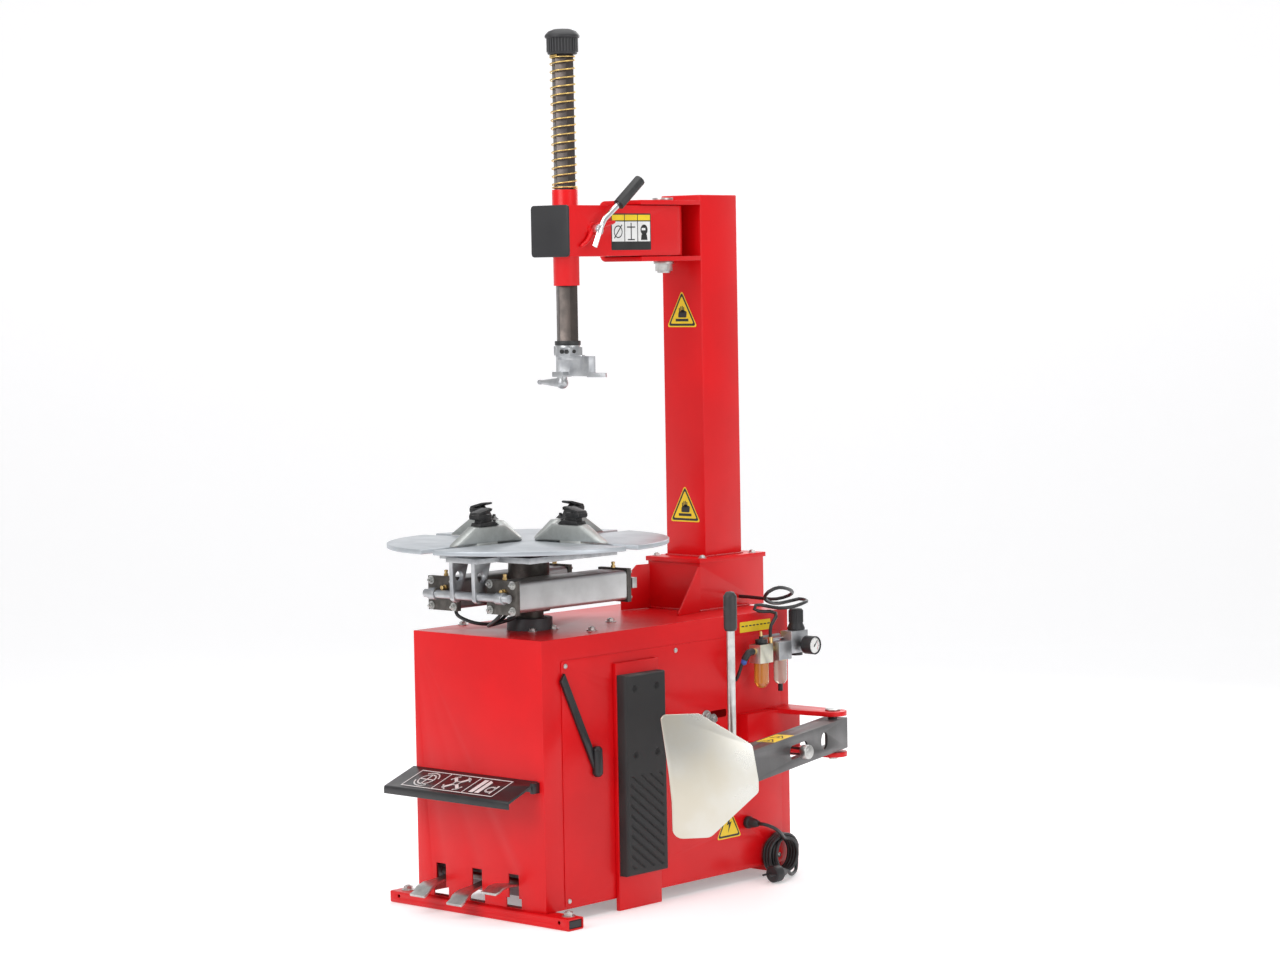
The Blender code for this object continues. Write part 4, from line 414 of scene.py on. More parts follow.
def smoothLine(points, step):
    knots = [Vector(p) for p in points]
    knots = [2 * knots[0] - knots[1], *knots, 2 * knots[-1] - knots[-2]]
    fine = []
    for a, b, c, d in zip(knots, knots[1:], knots[2:], knots[3:]):
        for i in range(24):
            t = i / 24
            fine.append(0.5 * (2 * b + (c - a) * t + (2 * a - 5 * b + 4 * c - d) * t * t
                               + (-a + 3 * b - 3 * c + d) * t ** 3))
    fine.append(knots[-2])
    line, walked = [fine[0]], 0.0
    for a, b in zip(fine, fine[1:]):
        walked += (b - a).length
        if walked >= step:
            line.append(b)
            walked = 0.0
    if (fine[-1] - line[-1]).length < step / 2:
        line.pop()
    line.append(fine[-1])
    return line


def coilPoints(s):
    # inner layer from the outer face inwards, then the outer layer back out, all turning the same way
    lanes = [(s["innerR"], s["hankX"] + 0.0122 - s["pitch"] * i) for i in range(s["turns"])]
    lanes += [(s["outerR"], s["hankX"] - 0.0162 + s["pitch"] * i) for i in range(s["turns"])]
    points = []
    for i, (r, x) in enumerate(lanes):
        after = lanes[i + 1] if i + 1 < len(lanes) else None
        for k in range(s["stepsPerTurn"]):
            u = k / s["stepsPerTurn"]
            if after is None and u > 0.22:
                break
            turn = math.pi / 2 - 2 * math.pi * u
            move = max(0.0, (u - 0.80) / 0.20)
            move = move * move * (3 - 2 * move)
            rr = r if after is None else r + (after[0] - r) * move
            xx = x if after is None else x + (after[1] - x) * move
            points.append(at(xx, s["hankY"] + rr * math.cos(turn), s["hankZ"] + rr * math.sin(turn)))
    return points


def makeLead(s):
    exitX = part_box("cable_gland")[1].x - tableAxis.x + 0.0003
    y, z = s["glandY"], s["glandZ"]
    coil = coilPoints(s)
    first = coil[0]
    start = [at(exitX, y, z), at(exitX + 0.010, y, z), at(exitX + 0.021, y + 0.004, z - 0.002),
             at(exitX + 0.030, y + 0.018, z - 0.010), at(exitX + 0.028, y + 0.038, z - 0.022),
             at(exitX + 0.017, y + 0.062, z - 0.036), first + Vector((0.004, -0.016, 0.0045)), first]
    plugLow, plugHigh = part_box("power_plug")
    plugX = (plugLow.x + plugHigh.x) / 2
    plugEnd = Vector((plugX, plugHigh.y + 0.0003, (plugLow.z + plugHigh.z) / 2))
    last = coil[-1]
    tail = [last, at(0.2275, s["hankY"] + 0.030, 0.0150), at(0.2360, s["hankY"] + 0.010, 0.0065),
            at(0.2450, s["hankY"] - 0.010, 0.0085), plugEnd + Vector((-0.003, 0.014, -0.003)),
            plugEnd + Vector((0, 0.004, 0)), plugEnd]
    line = smoothLine(start, 0.006)[:-1] + coil + smoothLine(tail, 0.006)[1:]
    curve = bpy.data.curves.new("powerCord", "CURVE")
    curve.dimensions = "3D"
    curve.bevel_depth = s["radius"]
    curve.bevel_resolution = 4
    curve.use_fill_caps = True
    spline = curve.splines.new("POLY")
    spline.points.add(len(line) - 1)
    for point, p in zip(spline.points, line):
        point.co = (*p, 1)
    spline.use_smooth = True
    cord = linked("powerCord", curve)
    curve.materials.append(materials["hoseRubber"])
    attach(cord, "cabinet")
    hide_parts("power_lead", "power_hank")


makeLead(leadSet)


# CAD nodes with rounded edges and their finish
edgeSet = {"default": 0.0008, "cabinet_shell": 0.0015, "column": 0.0022, "column_base": 0.0016,
           "arm_bracket": 0.0016, "swing_arm": 0.0014, "turntable": 0.0016, "mast": 0.0012, "mount_head": 0.0018,
           "mast_cap": 0.002, "pressure_gauge": 0.0007, "gauge_needle": 0.0001, "regulator_knob": 0.001,
           "air_hose": 0.0, "lubricator_hose": 0.0, "lock_handle": 0.0004, "bead_lever": 0.0008,
           "breaker_arm": 0.0016, "breaker_blade": 0.0012, "front_base_bar": 0.0015, "side_panel": 0.0006,
           "pedal_guard": 0.001, "drive_belt": 0.0005}
nodeLook = {"pedal_guard": "blackEnamel", "bead_lever": "blackEnamel", "air_lubricator": "paleZinc",
            "chuck_base": "castAlloy"}
nodeLook.update({f"pedal_{key}": "zincSteel" for key in ("left", "middle", "right")})
nodeLook.update({f"clamp_cylinder_{key}": "tubeAlloy" for key in ("left", "right")})
nodeLook.update({f"jaw_slide_{i}": "slideSteel" for i in (1, 2, 3, 4)})
handled = {"power_lead", "power_hank", "bead_pad", "mast_spring", "jaw_claw_1", "jaw_claw_2", "jaw_claw_3",
           "jaw_claw_4"}
pieces = {}


def dressNode(node):
    bm = bmesh.new()
    bm.from_mesh(frame["nodes"][node].data)
    bmesh.ops.remove_doubles(bm, verts=bm.verts, dist=0.000002)
    bmesh.ops.dissolve_limit(bm, angle_limit=math.radians(0.6), verts=bm.verts, edges=bm.edges)
    mesh = meshOf(bm, node + "Finished")
    width = edgeSet.get(node, edgeSet["default"])
    if width:
        mesh = bevelled(mesh, width)
    look = nodeLook.get(node, slotLook[slotOf[node]])
    pieces[node] = placePiece(node + "Finished", mesh, look, bodyOf[node], 34, (node,))


def paintZone(node, look, inside):
    # gives the faces whose middle is inside the zone a second finish
    mesh = pieces[node].data
    mesh.materials.append(materials[look])
    index = len(mesh.materials) - 1
    for face in mesh.polygons:
        c = face.center
        if inside(Vector((c.x - tableAxis.x, c.y - tableAxis.y, c.z))):
            face.material_index = index


for node in sorted(frame["nodes"]):
    if node not in handled:
        dressNode(node)
print("frame nodes finished")

# two-finish pieces
extraLooks = {
    "gripRubber": {"colour": (0.018, 0.018, 0.019), "shade": (0.026, 0.026, 0.027), "rough": 0.42,
        "broad": 60, "fine": 800, "bump": 0.10, "specular": 0.5},
    "amberBowl": {"colour": (0.86, 0.40, 0.06), "shade": (0.78, 0.33, 0.04), "rough": 0.08,
        "roughVary": 0.05, "glass": 0.55, "ior": 1.5, "bump": 0.02, "coat": 0.5, "coatRough": 0.05},
    "clearBowl": {"colour": (0.80, 0.74, 0.66), "shade": (0.72, 0.60, 0.50), "rough": 0.10,
        "roughVary": 0.06, "glass": 0.6, "ior": 1.5, "bump": 0.02, "coat": 0.4, "coatRough": 0.06},
    "brassFitting": {"colour": (0.70, 0.50, 0.22), "shade": (0.56, 0.38, 0.17), "rough": 0.24,
        "metal": 1.0, "broad": 90, "bump": 0.08, "lines": 0.08},
    "blueBand": {"colour": (0.03, 0.10, 0.42), "shade": (0.03, 0.08, 0.33), "rough": 0.35, "bump": 0.05},
    "decalYellow": {"colour": (0.86, 0.62, 0.015), "shade": (0.78, 0.54, 0.012), "rough": 0.34,
        "broad": 30, "bump": 0.03},
    "decalBlack": {"colour": (0.012, 0.012, 0.012), "shade": (0.02, 0.02, 0.02), "rough": 0.36,
        "broad": 30, "bump": 0.03},
    "decalWhite": {"colour": (0.80, 0.80, 0.79), "shade": (0.72, 0.72, 0.71), "rough": 0.36,
        "broad": 30, "bump": 0.03},
    "dialWhite": {"colour": (0.83, 0.83, 0.81), "shade": (0.78, 0.78, 0.76), "rough": 0.3, "broad": 60,
        "bump": 0.02},
    "weldPaint": {"colour": (0.56, 0.004, 0.008), "shade": (0.44, 0.004, 0.007), "rough": 0.25,
        "coat": 0.5, "coatRough": 0.12, "broad": 120, "fine": 500, "bump": 0.25},
}
materials.update({name: finishLook(name, values) for name, values in extraLooks.items()})

paintZone("lock_handle", "gripRubber", lambda p: p.y > 0.206 and p.z > 1.470)
paintZone("breaker_handle", "gripRubber", lambda p: p.z > 0.611)
paintZone("air_lubricator", "amberBowl", lambda p: 0.432 < p.z < 0.4865)
paintZone("air_lubricator", "blackPlastic", lambda p: 0.5275 < p.z < 0.5445 and abs(p.y - 0.4784) < 0.02)
paintZone("air_lubricator", "brassFitting",
          lambda p: p.y > 0.5005 or p.y < 0.4565 or p.z < 0.432 or p.z > 0.5445)
paintZone("air_filter", "clearBowl", lambda p: 0.434 < p.z < 0.4795)
paintZone("air_filter", "decalYellow", lambda p: 0.4835 < p.z < 0.4878)
paintZone("air_filter", "blackPlastic", lambda p: 0.4795 <= p.z <= 0.4835 or p.z <= 0.434)
paintZone("air_regulator", "blackPlastic", lambda p: p.z < 0.4985)
paintZone("breaker_rod", "zincSteel", lambda p: p.x > 0.395)
paintZone("mast", "gripRubber", lambda p: p.z < 1.2005)
for node in ("clamp_cylinder_left", "clamp_cylinder_right"):
    paintZone(node, "darkCasting", lambda p: p.y < -0.1595 or p.y > 0.1675)
paintZone("chuck_base", "darkCasting", lambda p: math.hypot(p.x, p.y) < 0.075)


# repeating hardware, instanced on points
def geometryTree(name, floats=(), ints=()):
    tree = bpy.data.node_groups.new(name, "GeometryNodeTree")
    tree.interface.new_socket("Geometry", in_out="INPUT", socket_type="NodeSocketGeometry")
    for label, value in floats:
        tree.interface.new_socket(label, in_out="INPUT", socket_type="NodeSocketFloat").default_value = value
    for label, value in ints:
        tree.interface.new_socket(label, in_out="INPUT", socket_type="NodeSocketInt").default_value = value
    tree.interface.new_socket("Geometry", in_out="OUTPUT", socket_type="NodeSocketGeometry")
    return tree, tree.nodes.new("NodeGroupInput"), tree.nodes.new("NodeGroupOutput")


def endTree(tree, out, geometry, look):
    real = addNode(tree, "GeometryNodeRealizeInstances", {0: geometry})
    paint = addNode(tree, "GeometryNodeSetMaterial", {"Geometry": real.outputs[0],
                                                      "Material": materials[look]})
    tree.links.new(paint.outputs[0], out.inputs[0])
    return tree


def diskStack(tree, layers):
    # stacked cones and cylinders along Z: (sides, radius below, radius above, low, high) in units of Size
    join = addNode(tree, "GeometryNodeJoinGeometry")
    for sides, lower, upper, low, high in layers:
        cone = addNode(tree, "GeometryNodeMeshCone", {"Vertices": sides, "Radius Bottom": lower,
                                                      "Radius Top": upper, "Depth": high - low})
        lift = addNode(tree, "GeometryNodeTransform", {"Translation": (0, 0, low),
                                                       "Geometry": cone.outputs["Mesh"]})
        tree.links.new(lift.outputs[0], join.inputs[0])
    return join.outputs[0]


def hardwareTree(name, layers, look):
    tree, inn, out = geometryTree(name, floats=[("Size", 1.0)])
    aim, reach = (addNode(tree, "GeometryNodeInputNamedAttribute", {"Name": label}, data_type=kind).outputs[0]
                  for label, kind in (("aim", "FLOAT_VECTOR"), ("reach", "FLOAT")))
    turn = addNode(tree, "FunctionNodeAlignRotationToVector", {"Vector": aim}, axis="Z")
    place = addNode(tree, "GeometryNodeInstanceOnPoints", {
        "Points": inn.outputs["Geometry"], "Instance": diskStack(tree, layers), "Rotation": turn.outputs[0],
        "Scale": mathNode(tree, "MULTIPLY", reach, inn.outputs["Size"])})
    return endTree(tree, out, place.outputs[0], look)


def sweptTree(tree, line, radius, sides):
    # a round tube along a line
    ring = addNode(tree, "GeometryNodeCurvePrimitiveCircle", {"Resolution": sides, "Radius": radius})
    return addNode(tree, "GeometryNodeCurveToMesh", {"Fill Caps": True, "Curve": line,
                                                     "Profile Curve": ring.outputs[0]}).outputs[0]


hardware = {
    "hexBolt": ([(28, 1.45, 1.45, 0.0, 0.16), (28, 1.40, 1.30, 0.16, 0.22), (6, 1.00, 1.00, 0.22, 0.80),
                 (6, 1.00, 0.90, 0.80, 0.90), (18, 0.50, 0.50, 0.90, 1.00), (18, 0.50, 0.42, 1.00, 1.08)],
                "zincSteel"),
    "studNut": ([(28, 1.55, 1.55, 0.0, 0.20), (6, 1.00, 1.00, 0.20, 0.95), (6, 1.00, 0.88, 0.95, 1.08),
                 (16, 0.50, 0.50, 1.08, 1.75), (16, 0.50, 0.38, 1.75, 1.88)], "zincSteel"),
    "socketCap": ([(24, 1.00, 1.00, 0.0, 0.70), (24, 1.00, 0.86, 0.70, 0.84), (6, 0.52, 0.50, 0.84, 0.86)],
                  "blackOxide"),
    "domeScrew": ([(20, 1.00, 0.96, 0.0, 0.18), (20, 0.96, 0.74, 0.18, 0.42), (20, 0.74, 0.36, 0.42, 0.54),
                   (4, 0.20, 0.20, 0.54, 0.56)], "zincSteel"),
    "brassNipple": ([(6, 1.00, 1.00, 0.0, 0.9), (6, 1.00, 0.88, 0.9, 1.0), (18, 0.66, 0.66, 1.0, 1.7),
                     (18, 0.80, 0.80, 1.7, 2.3), (18, 0.80, 0.55, 2.3, 2.5)], "brassFitting"),
}
hardware = {name: hardwareTree(name, *values) for name, values in hardware.items()}


def applyTree(obj, tree, values=()):
    mod = obj.modifiers.new("Build", "NODES")
    mod.node_group = tree
    for label, value in values:
        for item in tree.interface.items_tree:
            if item.item_type == "SOCKET" and item.in_out == "INPUT" and item.name == label:
                mod[item.identifier] = value
    return applied(obj)


def placeHardware(name, kind, body, spots):
    # spots are (place, direction, size in metres)
    mesh = bpy.data.meshes.new(name)
    mesh.from_pydata([tuple(at(*p)) for p, _, _ in spots], [], [])
    aim = mesh.attributes.new("aim", "FLOAT_VECTOR", "POINT")
    aim.data.foreach_set("vector", [c for _, d, _ in spots for c in d])
    reach = mesh.attributes.new("reach", "FLOAT", "POINT")
    reach.data.foreach_set("value", [s for _, _, s in spots])
    obj = linked(name, mesh)
    made = applyTree(obj, hardware[kind], [("Size", 1.0)])
    for spare in ("aim", "reach"):
        if spare in made.attributes:
            made.attributes.remove(made.attributes[spare])
    return placePiece(name, made, None, body, 28)


up, front, side = (0, 0, 1), (0, -1, 0), (1, 0, 0)
boltSet = {
    "cabinetTop": [((0.044, 0.025, 0.591), up, 0.008), ((0.051, 0.198, 0.591), up, 0.008),
                   ((0.135, 0.049, 0.591), up, 0.008), ((0.042, -0.035, 0.591), up, 0.007),
                   ((-0.177, -0.025, 0.591), up, 0.008)],
    "flange": [((x, y, 0.708), up, 0.0065) for x in (-0.068, 0.068) for y in (0.482, 0.652)],
    "anchors": [((x, -0.146, 0.025), up, 0.0100) for x in (-0.238, 0.238)],
    "panelScrews": [((0.1911, y, z), side, 0.0055) for y, z in (
        (-0.093, 0.533), (-0.093, 0.042), (0.586, 0.533), (0.586, 0.042), (0.250, 0.533))],
}
placeHardware("cabinetBolts", "hexBolt", "cabinet", boltSet["cabinetTop"] + boltSet["flange"])
placeHardware("anchorBolts", "hexBolt", "cabinet", boltSet["anchors"])
placeHardware("panelScrews", "domeScrew", "cabinet", boltSet["panelScrews"])
tieRods = [((sx * 0.087 + ox, y, 0.6765 + oz), (0, d, 0), 0.0058) for sx in (-1, 1) for ox in (-0.033, 0.033)
           for oz in (-0.027, 0.027) for y, d in ((-0.172, -1), (0.180, 1))]
placeHardware("cylinderTieNuts", "studNut", "table", tieRods)
placeHardware("cylinderFittings", "brassNipple", "table",
              [((sx * 0.087 + 0.012, -0.172, 0.690), front, 0.0060) for sx in (-1, 1)]
              + [((sx * 0.087, y, 0.7125), up, 0.0052) for y in (-0.160, 0.170) for sx in (-1, 1)])
placeHardware("headScrews", "socketCap", "mast_body",
              [((0.0158, 0.099, 1.1775), front, 0.0046), ((0.0298, 0.099, 1.1775), front, 0.0046),
               ((0.037, 0.112, 1.1775), side, 0.0040)])


# labels as thin raised layers
def prism(bm, points, low, high, index, origin, u, v):
    n = u.cross(v)
    area = sum(a[0] * b[1] - b[0] * a[1] for a, b in zip(points, points[1:] + points[:1]))
    ordered = points if area > 0 else points[::-1]
    lower = [bm.verts.new(origin + u * x + v * y + n * low) for x, y in ordered]
    upper = [bm.verts.new(origin + u * x + v * y + n * high) for x, y in ordered]
    faces = [bm.faces.new(upper), bm.faces.new(lower[::-1])]
    for i in range(len(ordered)):
        j = (i + 1) % len(ordered)
        faces.append(bm.faces.new((lower[i], lower[j], upper[j], upper[i])))
    for face in faces:
        face.material_index = index


def strokes(points, width, closed=False):
    shapes = []
    ends = points + points[:1] if closed else points
    for a, b in zip(ends, ends[1:]):
        d = Vector((b[0] - a[0], b[1] - a[1]))
        if d.length == 0:
            continue
        d.normalize()
        s = Vector((-d.y, d.x)) * width / 2
        e = d * width * 0.45
        a2, b2 = Vector(a) - e, Vector(b) + e
        shapes.append([tuple(a2 - s), tuple(b2 - s), tuple(b2 + s), tuple(a2 + s)])
    return shapes


def ringPoints(x, y, r, count=24, start=0.0, sweep=2 * math.pi):
    return [(x + r * math.cos(start + sweep * i / count), y + r * math.sin(start + sweep * i / count))
            for i in range(count + (0 if sweep >= 6.28 else 1))]


def roundedShape(points, r, steps=5):
    shape = []
    for i, p in enumerate(points):
        a, b, c = Vector(points[i - 1]), Vector(p), Vector(points[(i + 1) % len(points)])
        p0, p1 = b + (a - b).normalized() * r, b + (c - b).normalized() * r
        shape += [tuple((1 - t) ** 2 * p0 + 2 * t * (1 - t) * b + t * t * p1)
                  for t in [k / steps for k in range(steps + 1)]]
    return shape


def labelPiece(name, body, origin, u, v, layers):
    # layers are (finish, level, [polygons])
    bm = bmesh.new()
    names = []
    thick = 0.00012
    for finish, level, shapes in layers:
        if finish not in names:
            names.append(finish)
        for shape in shapes:
            prism(bm, shape, -0.0001, thick * (level + 1), names.index(finish), Vector(origin), Vector(u),
                  Vector(v))
    mesh = meshOf(bm, name)
    piece = placePiece(name, mesh, None, body, 30)
    for finish in names:
        mesh.materials.append(materials[finish])
    return piece


def rect(x0, y0, x1, y1):
    return [(x0, y0), (x1, y0), (x1, y1), (x0, y1)]


def warningTriangle(w, h, icon):
    outer = roundedShape([(-w / 2, -h / 2), (w / 2, -h / 2), (0, h / 2)], w * 0.10)
    border = roundedShape([(-w * 0.455, -h * 0.465), (w * 0.455, -h * 0.465), (0, h * 0.455)], w * 0.09)
    inner = roundedShape([(-w * 0.375, -h * 0.405), (w * 0.375, -h * 0.405), (0, h * 0.345)], w * 0.05)
    return [("decalYellow", 0, [outer]), ("decalBlack", 1, [border]), ("decalYellow", 2, [inner]),
            ("decalBlack", 3, icon)]


def crushIcon(k):
    bar = rect(-0.22 * k, -0.33 * k, 0.22 * k, -0.26 * k)
    palm = roundedShape([(-0.13 * k, -0.23 * k), (0.15 * k, -0.23 * k), (0.17 * k, -0.08 * k),
                         (0.02 * k, -0.02 * k), (-0.12 * k, -0.10 * k)], 0.03 * k)
    fingers = [[(x, -0.10 * k), (x + 0.035 * k, -0.10 * k), (x + 0.03 * k, top * k), (x, top * k)]
               for x, top in ((-0.10 * k, 0.02), (-0.05 * k, 0.06), (0.0, 0.07), (0.05 * k, 0.04))]
    return [bar, palm] + fingers


def boltIcon(k):
    return [[(0.05 * k, 0.20 * k), (-0.10 * k, -0.10 * k), (-0.01 * k, -0.08 * k), (-0.05 * k, -0.32 * k),
             (0.11 * k, -0.01 * k), (0.02 * k, -0.03 * k)]]


def makeLabels():
    across, rise = (1, 0, 0), (0, 0, 1)
    for name, z in (("columnWarningHigh", 1.261), ("columnWarningLow", 0.826)):
        labelPiece(name, "cabinet", at(-0.0010, 0.505, z), across, rise,
                   warningTriangle(0.090, 0.082, crushIcon(0.086)))
    labelPiece("powerWarning", "cabinet", at(0.1908, 0.4165, 0.140), (0, 1, 0), rise,
               warningTriangle(0.082, 0.074, boltIcon(0.080)))
    strip = roundedShape(rect(-0.052, -0.0115, 0.052, 0.0115), 0.002)
    marks = [rect(-0.046 + i * 0.0125, 0.0005, -0.0375 + i * 0.0125, 0.0032) for i in range(8)]
    labelPiece("serviceStrip", "cabinet", at(0.1890, 0.517, 0.5615), (0, 1, 0), rise,
               [("decalYellow", 0, [strip]), ("decalBlack", 1, marks)])
    # picture label on the arm: a yellow header, three pictures and a black foot
    sheet = roundedShape(rect(-0.0635, -0.0395, 0.0635, 0.0395), 0.003)
    cells, heads, feet = ([rect(x - 0.0195, low, x + 0.0195, high) for x in (-0.0415, 0.0, 0.0415)]
                          for low, high in ((-0.021, 0.022), (0.0245, 0.0365), (-0.0365, -0.0235)))
    wheel = strokes(ringPoints(-0.0415, 0.0, 0.0125, 20), 0.0022, True)
    wheel += strokes([(-0.053, -0.013), (-0.030, 0.014)], 0.0026)
    stand = strokes([(0.0, -0.017), (0.0, 0.018)], 0.0030) + strokes([(-0.012, 0.010), (0.012, 0.010)], 0.0026)
    stand += strokes([(-0.010, -0.017), (0.010, -0.017)], 0.0026)
    face = [ringPoints(0.0415, 0.004, 0.0115, 18),
            [(0.031, -0.018), (0.052, -0.018), (0.050, -0.006), (0.033, -0.006)]]
    glasses = [rect(0.0335, 0.003, 0.0455, 0.008)]
    labelPiece("armLabel", "arm", at(0.054, 0.2815, 1.4315), (0, 1, 0), rise,
               [("decalBlack", 0, [sheet]), ("decalWhite", 1, cells), ("decalYellow", 1, heads),
                ("decalBlack", 1, feet), ("decalBlack", 2, wheel + stand + face), ("decalWhite", 3, glasses)])
    # three pedal pictures on the guard, drawn in white lines
    slope = Vector((0, 0.089, 0.031)).normalized()
    centre = at(-0.021, -0.2065, 0.2842)
    frameLine = strokes(rect(-0.134, -0.034, 0.134, 0.034), 0.0026, True)
    for x in (-0.0445, 0.0445):
        frameLine += strokes([(x, -0.034), (x, 0.034)], 0.0026)
    turning = strokes(ringPoints(-0.089, 0, 0.020, 22), 0.0036, True)
    turning += strokes([(-0.089, -0.018), (-0.089, 0.018)], 0.0030)
    turning += strokes([(-0.107, 0), (-0.071, 0)], 0.0030)
    turning += strokes(ringPoints(-0.089, 0, 0.028, 8, 0.3, 1.9), 0.0032)
    turning += strokes(ringPoints(-0.089, 0, 0.028, 8, 0.3 + math.pi, 1.9), 0.0032)
    claws = strokes(ringPoints(0, 0, 0.0075, 12), 0.0030, True)
    for i in range(4):
        t = math.pi / 4 + i * math.pi / 2
        claws += strokes([(r * math.cos(t), r * math.sin(t)) for r in (0.010, 0.029)], 0.0075)
        claws += strokes(ringPoints(0, 0, 0.0295, 4, t - 0.34, 0.68), 0.0036)
    shovel = [rect(0.060, -0.027, 0.072, 0.027),
              [(0.077, -0.027), (0.089, -0.027), (0.089, 0.020), (0.077, 0.027)]]
    shovel += strokes(ringPoints(0.107, -0.008, 0.0105, 14), 0.0045, True)
    shovel += strokes([(0.117, -0.022), (0.117, 0.008)], 0.0045)
    labelPiece("pedalPictures", "cabinet", centre, across, slope,
               [("decalWhite", 0, frameLine + turning + claws + shovel)])
    # strip on the breaker arm's top
    tilt = math.radians(17.5)
    along = Vector((math.sin(tilt), -math.cos(tilt), 0))
    aside = Vector((math.cos(tilt), math.sin(tilt), 0))
    spot = at(0.338, 0.600, 0.359) + along * 0.330
    strip = roundedShape(rect(-0.021, -0.055, 0.021, 0.055), 0.003)
    icon = []
    for v in (-0.030, 0.024):
        icon += strokes([(-0.014, v - 0.018), (0.014, v - 0.018), (0.0, v + 0.014)], 0.0032, True)
        icon += [[(-0.003, v - 0.012), (0.003, v - 0.012), (0.002, v + 0.001), (-0.002, v + 0.001)]]
    labelPiece("breakerLabel", "breaker", spot, aside, along * -1,
               [("decalYellow", 0, [strip]), ("decalBlack", 1, icon)])


makeLabels()
print("labels placed")


# ribbed rubber pad
padSet = {"rake": 0.75, "pitch": 0.0215, "depth": 0.0035, "round": 0.006}


def makePad(s):
    low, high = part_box("bead_pad")
    nu, nv = 64, 200
    width, tall = high.y - low.y, high.z - low.z
    bm = bmesh.new()
    grid = []
    for j in range(nv + 1):
        row = []
        for i in range(nu + 1):
            u, v = i / nu * width, j / nv * tall
            edge = min(u, width - u, v, tall - v)
            near = min(edge / s["round"], 1.0)
            fall = s["round"] * (1 - math.sqrt(max(0.0, 1 - (1 - near) ** 2)))
            depth = 0.0
            if 0.012 < u < width - 0.012 and 0.014 < v < tall * 0.50:
                phase = ((v + u * s["rake"]) / s["pitch"]) % 1.0
                depth = s["depth"] * max(0.0, 1 - abs(phase - 0.5) / 0.16) ** 0.6
            for hu, hv in ((0.030, 0.60), (0.098, 0.60), (0.030, 0.93), (0.098, 0.93)):
                near = math.hypot(u - hu, v - hv * tall)
                if near < 0.0075:
                    depth = max(depth, 0.005 * min(1.0, (0.0075 - near) / 0.0018))
            ripple = 0.00012 * noise.noise(Vector((u * 60, v * 60, 3.0)))
            row.append(bm.verts.new((high.x - fall - depth + ripple - 0.0002, low.y + u, low.z + v)))
        grid.append(row)
    for j in range(nv):
        for i in range(nu):
            bm.faces.new((grid[j][i], grid[j][i + 1], grid[j + 1][i + 1], grid[j + 1][i]))
    rim = grid[0] + [r[-1] for r in grid[1:]] + grid[-1][-2::-1] + [r[0] for r in grid[-2:0:-1]]
    back = [bm.verts.new((low.x, v.co.y, v.co.z)) for v in rim]
    for i in range(len(rim)):
        k = (i + 1) % len(rim)
        bm.faces.new((rim[k], rim[i], back[i], back[k]))
    bm.faces.new(back[::-1])
    bmesh.ops.recalc_face_normals(bm, faces=bm.faces)
    placeMesh("beadPadRubber", bm, "padRubber", "cabinet", 40, ("bead_pad",))


makePad(padSet)


# mast spring, carried on the mast's body
springSet = {"turns": 16.0, "radius": 0.0268, "wire": 0.0016, "endTurns": 1.4}


def springTree():
    tree, inn, out = geometryTree("compressionSpring", floats=[("Wire Radius", 0.0016)])
    curve = addNode(tree, "GeometryNodeMeshToCurve", {0: inn.outputs["Geometry"]})
    wire = sweptTree(tree, curve.outputs[0], inn.outputs["Wire Radius"], 10)
    return endTree(tree, out, wire, "springWire")


def makeSpring(s):
    low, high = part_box("mast_spring")
    cx, cy = (low.x + high.x) / 2, (low.y + high.y) / 2
    total = s["turns"] + 2 * s["endTurns"]
    steps = int(total * 40)
    bottom, top = low.z + s["wire"], high.z - s["wire"]
    points = []
    for i in range(steps + 1):
        turn = total * i / steps
        share = min(max((turn - s["endTurns"]) / s["turns"], 0.0), 1.0)
        close = 2.2 * s["wire"]
        z = bottom + min(turn, s["endTurns"]) * close
        z += share * (top - bottom - 2 * s["endTurns"] * close)
        z += max(0.0, turn - s["endTurns"] - s["turns"]) * close
        a = 2 * math.pi * turn
        points.append((cx + s["radius"] * math.cos(a), cy + s["radius"] * math.sin(a), z))
    mesh = bpy.data.meshes.new("springPath")
    mesh.from_pydata(points, [(i, i + 1) for i in range(steps)], [])
    obj = linked("springPath", mesh)
    made = applyTree(obj, springTree(), [("Wire Radius", s["wire"])])
    piece = placePiece("mastSpringWire", made, None, "mast_body", 60, ("mast_spring",))
    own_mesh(piece)


makeSpring(springSet)


# weld beads along the frame's joints
def weldTree():
    tree, inn, out = geometryTree("weldBead", floats=[("Radius", 0.0028), ("Ripple", 0.0007)])
    curve = addNode(tree, "GeometryNodeMeshToCurve", {0: inn.outputs["Geometry"]})
    even = addNode(tree, "GeometryNodeResampleCurve", {"Length": 0.0016, 0: curve.outputs[0]},
                   mode="LENGTH")
    bead = sweptTree(tree, even.outputs[0], inn.outputs["Radius"], 8)
    wobble = addNode(tree, "ShaderNodeTexNoise", {"Scale": 210.0, "Detail": 2.0})
    normal = addNode(tree, "GeometryNodeInputNormal")
    amount = mathNode(tree, "MULTIPLY", mathNode(tree, "SUBTRACT", wobble.outputs["Fac"], 0.5),
                      inn.outputs["Ripple"])
    push = addNode(tree, "ShaderNodeVectorMath", {0: normal.outputs[0], "Scale": mathNode(
        tree, "MULTIPLY", amount, 2.0)}, operation="SCALE")
    move = addNode(tree, "GeometryNodeSetPosition", {"Geometry": bead, "Offset": push.outputs[0]})
    return endTree(tree, out, move.outputs[0], "weldPaint")


weldShape = weldTree()


